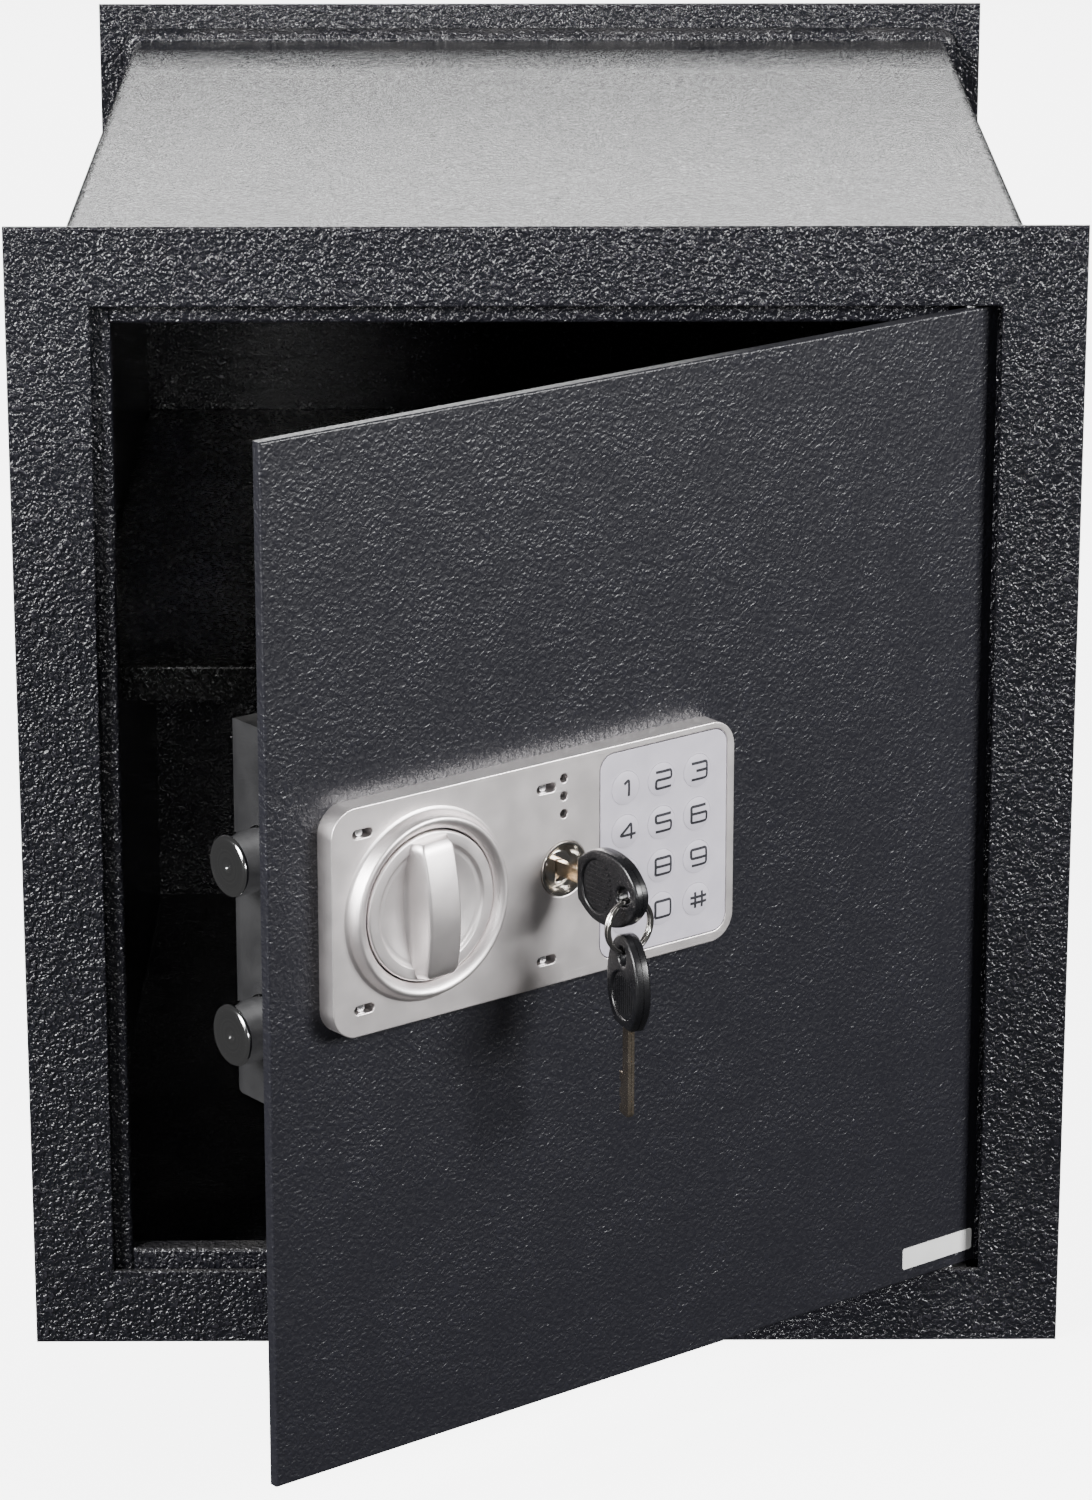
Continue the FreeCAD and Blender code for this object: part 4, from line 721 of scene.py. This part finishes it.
def make_knob():
    """The knob: a dished disc with a stepped rim, and the upright grip across it."""
    low, high = local_box("knob")
    radius = (high.x - low.x) / 2
    rim = FACE - RIM_PROUD
    profile = [(AXIS, high.y), (radius - 0.3, high.y), (radius, high.y - 0.3), (radius, rim + 0.7),
               (radius - 0.25, rim + 0.2), (radius - 0.8, rim), (radius - 3.9, rim),
               (radius - 4.5, rim + 0.2), (radius - 4.9, rim + 0.75), (radius - 5.5, rim + 0.95),
               (radius - 6.4, rim + 0.95)]
    profile += bulged((radius - 7.0, rim + 1.0), (4.0, rim + 2.6), -0.35, 8)
    profile.append((AXIS, rim + 2.7))
    disc = lathe(profile, 128)
    steps = range(-GRIP_STATIONS, GRIP_STATIONS + 1)
    stations = [math.sin(step / GRIP_STATIONS * math.pi / 2) for step in steps]
    grip = skin([grip_section(share, rim + 1.9, low.y) for share in stations])
    place = at(KNOB.x, 0, KNOB.z) @ Matrix.Rotation(KNOB_TILT, 4, "Y")
    piece("knob_casting", joined(disc, grip), "knob", SILVER, place, ["knob"], sharp=50)


# ---------------------------------------------------------------- lock and keys
PLUG_RADIUS = 6.0
KEYWAY_HALF, KEYWAY_LOW, KEYWAY_HIGH = 1.35, -5.4, 2.8


def make_lock():
    """The nickel dish and the face of the plug with its keyway."""
    low, high = local_box("lock_dish")
    radius = (high.x - low.x) / 2
    bore = PLUG_RADIUS + FIT_GAP
    profile = [(radius, high.y), (radius, low.y + 0.5), (radius - 0.2, low.y + 0.1), (radius - 0.6, low.y),
               (radius - 1.1, low.y + 0.1), (radius - 1.6, low.y + 1.0), (radius - 2.2, low.y + 2.4),
               (radius - 2.6, low.y + 2.9), (bore + 0.7, high.y - 2.6), (bore + 0.3, high.y - 2.3),
               (bore, high.y - 1.9), (bore, high.y)]
    dish = lathe(profile, 96, closed=True)
    piece("lock_cup", dish, "door", NICKEL, at(LOCK.x, 0, LOCK.z), ["lock_dish"])
    plug_low, plug_high = local_box("lock_plug")
    slot = [(-KEYWAY_HALF, KEYWAY_LOW), (KEYWAY_HALF, KEYWAY_LOW), (KEYWAY_HALF, KEYWAY_HIGH),
            (-KEYWAY_HALF, KEYWAY_HIGH)]
    plug = plate(circle(0, 0, PLUG_RADIUS, 64), [slot], plug_low.y, plug_high.y, 0.3)
    piece("plug_body", plug, "plug", NICKEL, at(LOCK.x, 0, LOCK.z), ["lock_plug"])


BOW_HALF = [(0, 5.6), (1.6, 8.4), (8.5, 12.6), (17, 13.3), (25, 11.2), (30.5, 6.6), (32.9, 2.2)]
BOW_LONG, BOW_THICK, HOLE_FROM_END, HOLE_RADIUS = 33.0, 5.6, 7.5, 3.4
OVAL_MIDDLE, OVAL_HALF_LONG, OVAL_HALF_WIDE, OVAL_DEEP = -11.2, 8.2, 9.2, 0.8
RIB_ROWS, RIB_PITCH, RIB_REACH, RIB_GAP = 4, 1.75, 7.4, 0.5
RIB_RADIUS, RIB_TIP = 0.42, 0.12
BLADE_HALF, BIT_OUT, BLADE_THICK = 2.6, 2.6, 2.4
BIT_LONG, CUT_STEP = 15, 3.0
HANG_TURN = math.radians(164)


def across_x(form):
    """Turns a plate drawn in X and Z so that it lies in Y and Z, facing X."""
    return moved(form, Matrix.Rotation(math.pi / 2, 4, "Z"))


def bow_form():
    """The plastic head: two skins with a sunk oval on each side of a core, and ribs in the oval."""
    half = [(-along, across) for along, across in BOW_HALF]
    outline = smooth_loop(half + [(x, -z) for x, z in reversed(half)], 5)
    hole = circle(HOLE_FROM_END - BOW_LONG, 0, HOLE_RADIUS, 32)
    turn = [2 * math.pi * step / 48 for step in range(48)]
    oval = [(OVAL_MIDDLE + OVAL_HALF_LONG * math.cos(a), OVAL_HALF_WIDE * math.sin(a))
            for a in reversed(turn)]
    front = plate(outline, [hole, oval], -BOW_THICK / 2, 0.2, 1.0)
    back = moved(front, Matrix.Diagonal((1, -1, 1, 1)))
    floor = plate(oval, [], -BOW_THICK / 2 + OVAL_DEEP, BOW_THICK / 2 - OVAL_DEEP, 0.05)
    ribs = []
    for row in range(-RIB_ROWS, RIB_ROWS + 1):
        level = row * RIB_PITCH
        reach = RIB_REACH * math.sqrt(max(0.0, 1 - (level / OVAL_HALF_WIDE) ** 2)) - RIB_GAP
        for side in (-1, 1):
            y = side * (BOW_THICK / 2 - OVAL_DEEP)
            path = [Vector((OVAL_MIDDLE + reach * t, y, level)) for t in (-1, -0.97, 0, 0.97, 1)]
            loops = []
            for index, point in enumerate(path):
                size = RIB_TIP if index in (0, 4) else RIB_RADIUS
                turn = [2 * math.pi * step / 10 for step in range(10)]
                loops.append([point + Vector((0, math.sin(a) * size, math.cos(a) * size)) for a in turn])
            ribs.append(skin(loops))
    return joined(front, back, floor, *ribs)


def blade_form(length):
    """The flat blade with its cut bit, in two halves that meet at the middle plane."""
    start = length - BIT_LONG
    step = CUT_STEP
    deep, mid = BLADE_HALF + BIT_OUT, BLADE_HALF + BIT_OUT / 2
    outline = [(0, BLADE_HALF), (0, -BLADE_HALF), (start, -BLADE_HALF), (start, -deep),
               (start + step, -deep), (start + step + 0.4, -mid), (start + 2 * step - 0.4, -mid),
               (start + 2 * step, -deep),
               (start + 3 * step, -deep), (start + 3 * step + 0.4, -mid), (start + 4 * step - 0.4, -mid),
               (start + 4 * step, -deep), (length - 0.6, -deep), (length, -deep + 0.6),
               (length, BLADE_HALF - 1.4), (length - 1.4, BLADE_HALF)]
    front = plate(outline, [], -BLADE_THICK / 2, 0.1, 0.2)
    back = moved(front, Matrix.Diagonal((1, -1, 1, 1)))
    return joined(front, back)


def make_keys():
    """The key in the lock and the key that hangs from the ring."""
    first = at(LOCK.x, local_box("key_bow_1")[1].y, LOCK.z)
    low, high = local_box("key_bow_2")
    hang = at((low.x + high.x) / 2, (low.y + high.y) / 2, low.z)
    hang = hang @ Matrix.Rotation(HANG_TURN, 4, "Z") @ Matrix.Rotation(-math.pi / 2, 4, "X")
    blade_low, blade_high = local_box("key_blade_1")
    for number, place, body in (("1", first, "key_in_lock"), ("2", hang, "hanging_key")):
        piece("bow_moulding_" + number, across_x(bow_form()), body, PLASTIC, place,
              ["key_bow_" + number])
        piece("blade_steel_" + number, across_x(blade_form(blade_high.y - blade_low.y)), body, BRASS,
              place, ["key_blade_" + number])


WIRE_RADIUS, WIRE_FULL, COIL_SPREAD = 0.8, 0.98, 0.88
RING_TURNS, RING_START, RING_STEPS = 1.97, 2.2, 160
CROSS_FROM, CROSS_PART = 0.46, 0.08


def make_ring():
    """The split ring: two turns of one wire that step past each other at the split."""
    low, high = local_box("key_ring")
    wire = WIRE_RADIUS
    radius = (high.z - low.z) / 2 - wire
    middle = (low + high) / 2
    path = []
    for step in range(RING_STEPS + 1):
        share = step / RING_STEPS
        a = RING_TURNS * 2 * math.pi * share + RING_START
        cross = min(1.0, max(0.0, (share - CROSS_FROM) / CROSS_PART))
        side = (cross * cross * (3 - 2 * cross) * 2 - 1) * wire * COIL_SPREAD
        path.append(Vector((radius * math.cos(a), side, radius * math.sin(a))))
    piece("split_ring", tube(path, wire * WIRE_FULL, 14), "ring", WIRE, at(*middle),
          ["key_ring"])


# ---------------------------------------------------------------- bolts and cover details
def make_bolts():
    """Two turned bolts, their front edge rounded and their end faced."""
    for label in ("bolt_upper", "bolt_lower"):
        low, high = local_box(label)
        radius = (high.z - low.z) / 2
        half = (high.x - low.x) / 2
        middle = (low + high) / 2
        profile = [(AXIS, -half), (radius, -half), (radius, half - 1.6), (radius - 0.1, half - 1.0),
                   (radius - 0.4, half - 0.45), (radius - 0.9, half - 0.12), (radius - 1.5, half),
                   (radius - 1.9, half - 0.03), (radius - 2.1, half - 0.12), (2.6, half - 0.14),
                   (1.4, half - 0.55), (AXIS, half - 1.1)]
        place = at(*middle) @ Matrix.Rotation(math.pi / 2, 4, "Z")
        piece(label + "_turned", lathe(profile, 96), "bolts", CHROME, place, [label])


COVER_SCREWS = [(0, 0), (0, 112), (148, 112), (70, 0)]
COVER_HEAD, COVER_HEAD_DEEP, COVER_THREAD = 3.0, 1.8, 1.5
CROSS_ARM, CROSS_REACH, CROSS_DEEP = 0.16, 0.58, 0.35
RIDGES, RIDGE_PITCH, RIDGE_HALF_LONG, RIDGE_HALF_HIGH = 6, 1.8, 8, 0.45
RIDGE_PROUD, RIDGE_FROM_TOP = 0.6, 8.0
CATCH_HALF_WIDE, CATCH_LOW, CATCH_HIGH = 10, 19.5, 5.5


def cross_head(radius, deep):
    """A domed screw head, facing -Y from its seat at Y = 0, with a cross recess."""
    arm, reach = radius * CROSS_ARM, radius * CROSS_REACH
    cross = [(arm, arm), (arm, reach), (-arm, reach), (-arm, arm), (-reach, arm), (-reach, -arm),
             (-arm, -arm), (-arm, -reach), (arm, -reach), (arm, -arm), (reach, -arm), (reach, arm)]
    top = plate(circle(0, 0, radius, 36), [cross], -deep, 0, deep * 0.45)
    floor = plate(circle(0, 0, reach + 0.1, 24), [], -deep * CROSS_DEEP, 0, 0.02)
    return joined(top, floor)


def make_cover_details():
    """The cover's screws, the battery hatch with its latch, and the reset button."""
    low, high = local_box("cover_screws")
    head, deep = COVER_HEAD, COVER_HEAD_DEEP
    flip = Matrix.Rotation(math.pi, 4, "Z")
    heads = []
    for x, z in COVER_SCREWS:
        spot = Matrix.Translation((low.x + head + x, high.y - deep, low.z + head + z))
        heads.append(moved(moved(cross_head(head, deep), flip), spot))
        heads.append(moved(lathe([(COVER_THREAD, low.y - high.y + deep), (COVER_THREAD, 0.3)], 24), spot))
    piece("cover_screw_heads", joined(*heads), "door", ZINC, stands_for=["cover_screws"])
    low, high = local_box("battery_hatch")
    lid = plate(rounded(-high.x, -low.x, low.z, high.z, 2.0), [], -high.y, -low.y, 0.5)
    ridges = []
    middle = -(low.x + high.x) / 2
    for number in range(RIDGES):
        level = high.z - RIDGE_FROM_TOP - number * RIDGE_PITCH
        outline = rounded(middle - RIDGE_HALF_LONG, middle + RIDGE_HALF_LONG, level - RIDGE_HALF_HIGH,
                          level + RIDGE_HALF_HIGH, RIDGE_HALF_HIGH - 0.01, 3)
        ridges.append(plate(outline, [], -high.y, -high.y + RIDGE_PROUD, 0.2))
    outline = rounded(middle - CATCH_HALF_WIDE, middle + CATCH_HALF_WIDE, high.z - CATCH_LOW,
                      high.z - CATCH_HIGH, 3.0)
    catch = plate(outline, [], -high.y, -low.y, 0.4)
    lid_form = moved(joined(lid, catch, *ridges), flip)
    piece("hatch_lid", lid_form, "door", COVER_BLACK, stands_for=["battery_hatch"])
    low, high = local_box("reset_button")
    radius = (high.x - low.x) / 2
    profile = [(AXIS, low.y), (radius, low.y), (radius, high.y - 0.6), (radius - 0.25, high.y - 0.2),
               (radius - 0.8, high.y), (1.2, high.y), (0.8, high.y - 0.3), (AXIS, high.y - 0.35)]
    centre = at((low.x + high.x) / 2, 0, (low.z + high.z) / 2)
    piece("reset_cap", lathe(profile, 40), "reset_button", RED, centre, ["reset_button"])


# ---------------------------------------------------------------- floor, light and camera
FLOOR_REACH, FLOOR_GLOW = 14.0, 5.0
BACKDROP_SEEN, BACKDROP_LIGHT = 6.0, 0.06
LAMPS = [  # name, place, aim, width, height, power
    ("above_behind", (0.0, 2.6, 1.25), (0, -0.2, 0.2), 3.0, 1.0, 60),
    ("above_left", (-1.7, -1.9, 1.1), (-0.1, -0.5, 0.15), 0.9, 0.9, 115),
    ("above_right", (2.1, -1.6, 0.95), (0, -0.5, 0.1), 1.1, 0.9, 125),
    ("left_side", (-1.9, -1.3, 0.45), (0, -0.5, 0.1), 0.5, 0.9, 34),
    ("low_front", (-0.1, -2.9, 0.28), (0, -0.3, 0), 0.5, 0.3, 12)]


def make_floor():
    """A plain pale floor under the safe, that neither lights it nor shows in it."""
    low, reach = cad_bounds[0].z, FLOOR_REACH
    mesh = bpy.data.meshes.new("floor")
    corners = [(-reach, -reach, low), (reach, -reach, low), (reach, reach, low), (-reach, reach, low)]
    mesh.from_pydata(corners, [], [(0, 1, 2, 3)])
    material, _, shader = new_material("floor_pale")
    shader.inputs["Base Color"].default_value = (0.92, 0.92, 0.92, 1)
    shader.inputs["Roughness"].default_value = 0.9
    shader.inputs["Emission Color"].default_value = (1, 1, 1, 1)
    shader.inputs["Emission Strength"].default_value = FLOOR_GLOW
    mesh.materials.append(material)
    floor = bpy.data.objects.new("floor", mesh)
    floor.visible_glossy = False
    floor.visible_diffuse = False
    bpy.context.scene.collection.objects.link(floor)


def add_lamp(name, where, aim, wide, tall, power):
    """A soft rectangular lamp that faces a point."""
    data = bpy.data.lights.new(name, "AREA")
    data.shape = "RECTANGLE"
    data.size, data.size_y = wide, tall
    data.energy = power
    lamp = bpy.data.objects.new(name, data)
    lamp.location = where
    lamp.rotation_mode = "QUATERNION"
    lamp.rotation_quaternion = (Vector(aim) - Vector(where)).to_track_quat("-Z", "Y")
    lamp.visible_camera = False
    bpy.context.scene.collection.objects.link(lamp)


def make_light():
    """A white backdrop that lights the safe only faintly, and the lamps round it."""
    world = bpy.data.worlds.new("studio")
    world.use_nodes = True
    tree = world.node_tree
    backdrop = tree.nodes["Background"]
    backdrop.inputs["Color"].default_value = (1, 1, 1, 1)
    backdrop.inputs["Strength"].default_value = BACKDROP_SEEN
    dim = add_node(tree, "ShaderNodeBackground", [("Color", (1, 1, 1, 1)), ("Strength", BACKDROP_LIGHT)])
    seen = add_node(tree, "ShaderNodeLightPath").outputs["Is Camera Ray"]
    blend = add_node(tree, "ShaderNodeMixShader", [(0, seen), (1, dim.outputs[0]), (2, backdrop.outputs[0])])
    tree.links.new(blend.outputs[0], tree.nodes["World Output"].inputs["Surface"])
    bpy.context.scene.world = world
    for lamp in LAMPS:
        add_lamp(*lamp)


def make_camera():
    """The camera: a long lens, a little above, looking down at the front."""
    data = bpy.data.cameras.new("camera")
    data.lens = 128.0
    data.sensor_width = 36.0
    data.clip_end = 50
    camera = bpy.data.objects.new("camera", data)
    camera.location = (-0.0110, -2.3499, 0.6162)
    camera.rotation_mode = "XYZ"
    tilt, yaw, roll = 17.612, 0.337, 0.017
    camera.rotation_euler = (math.radians(90 - tilt), math.radians(roll), math.radians(-yaw))
    bpy.context.scene.collection.objects.link(camera)
    bpy.context.scene.camera = camera


make_camera()
make_light()
make_floor()
dress_nodes()
make_panel()
make_film()
make_keys_of_pad()
make_lamps()
make_knob()
make_lock()
make_keys()
make_ring()
make_bolts()
make_cover_details()
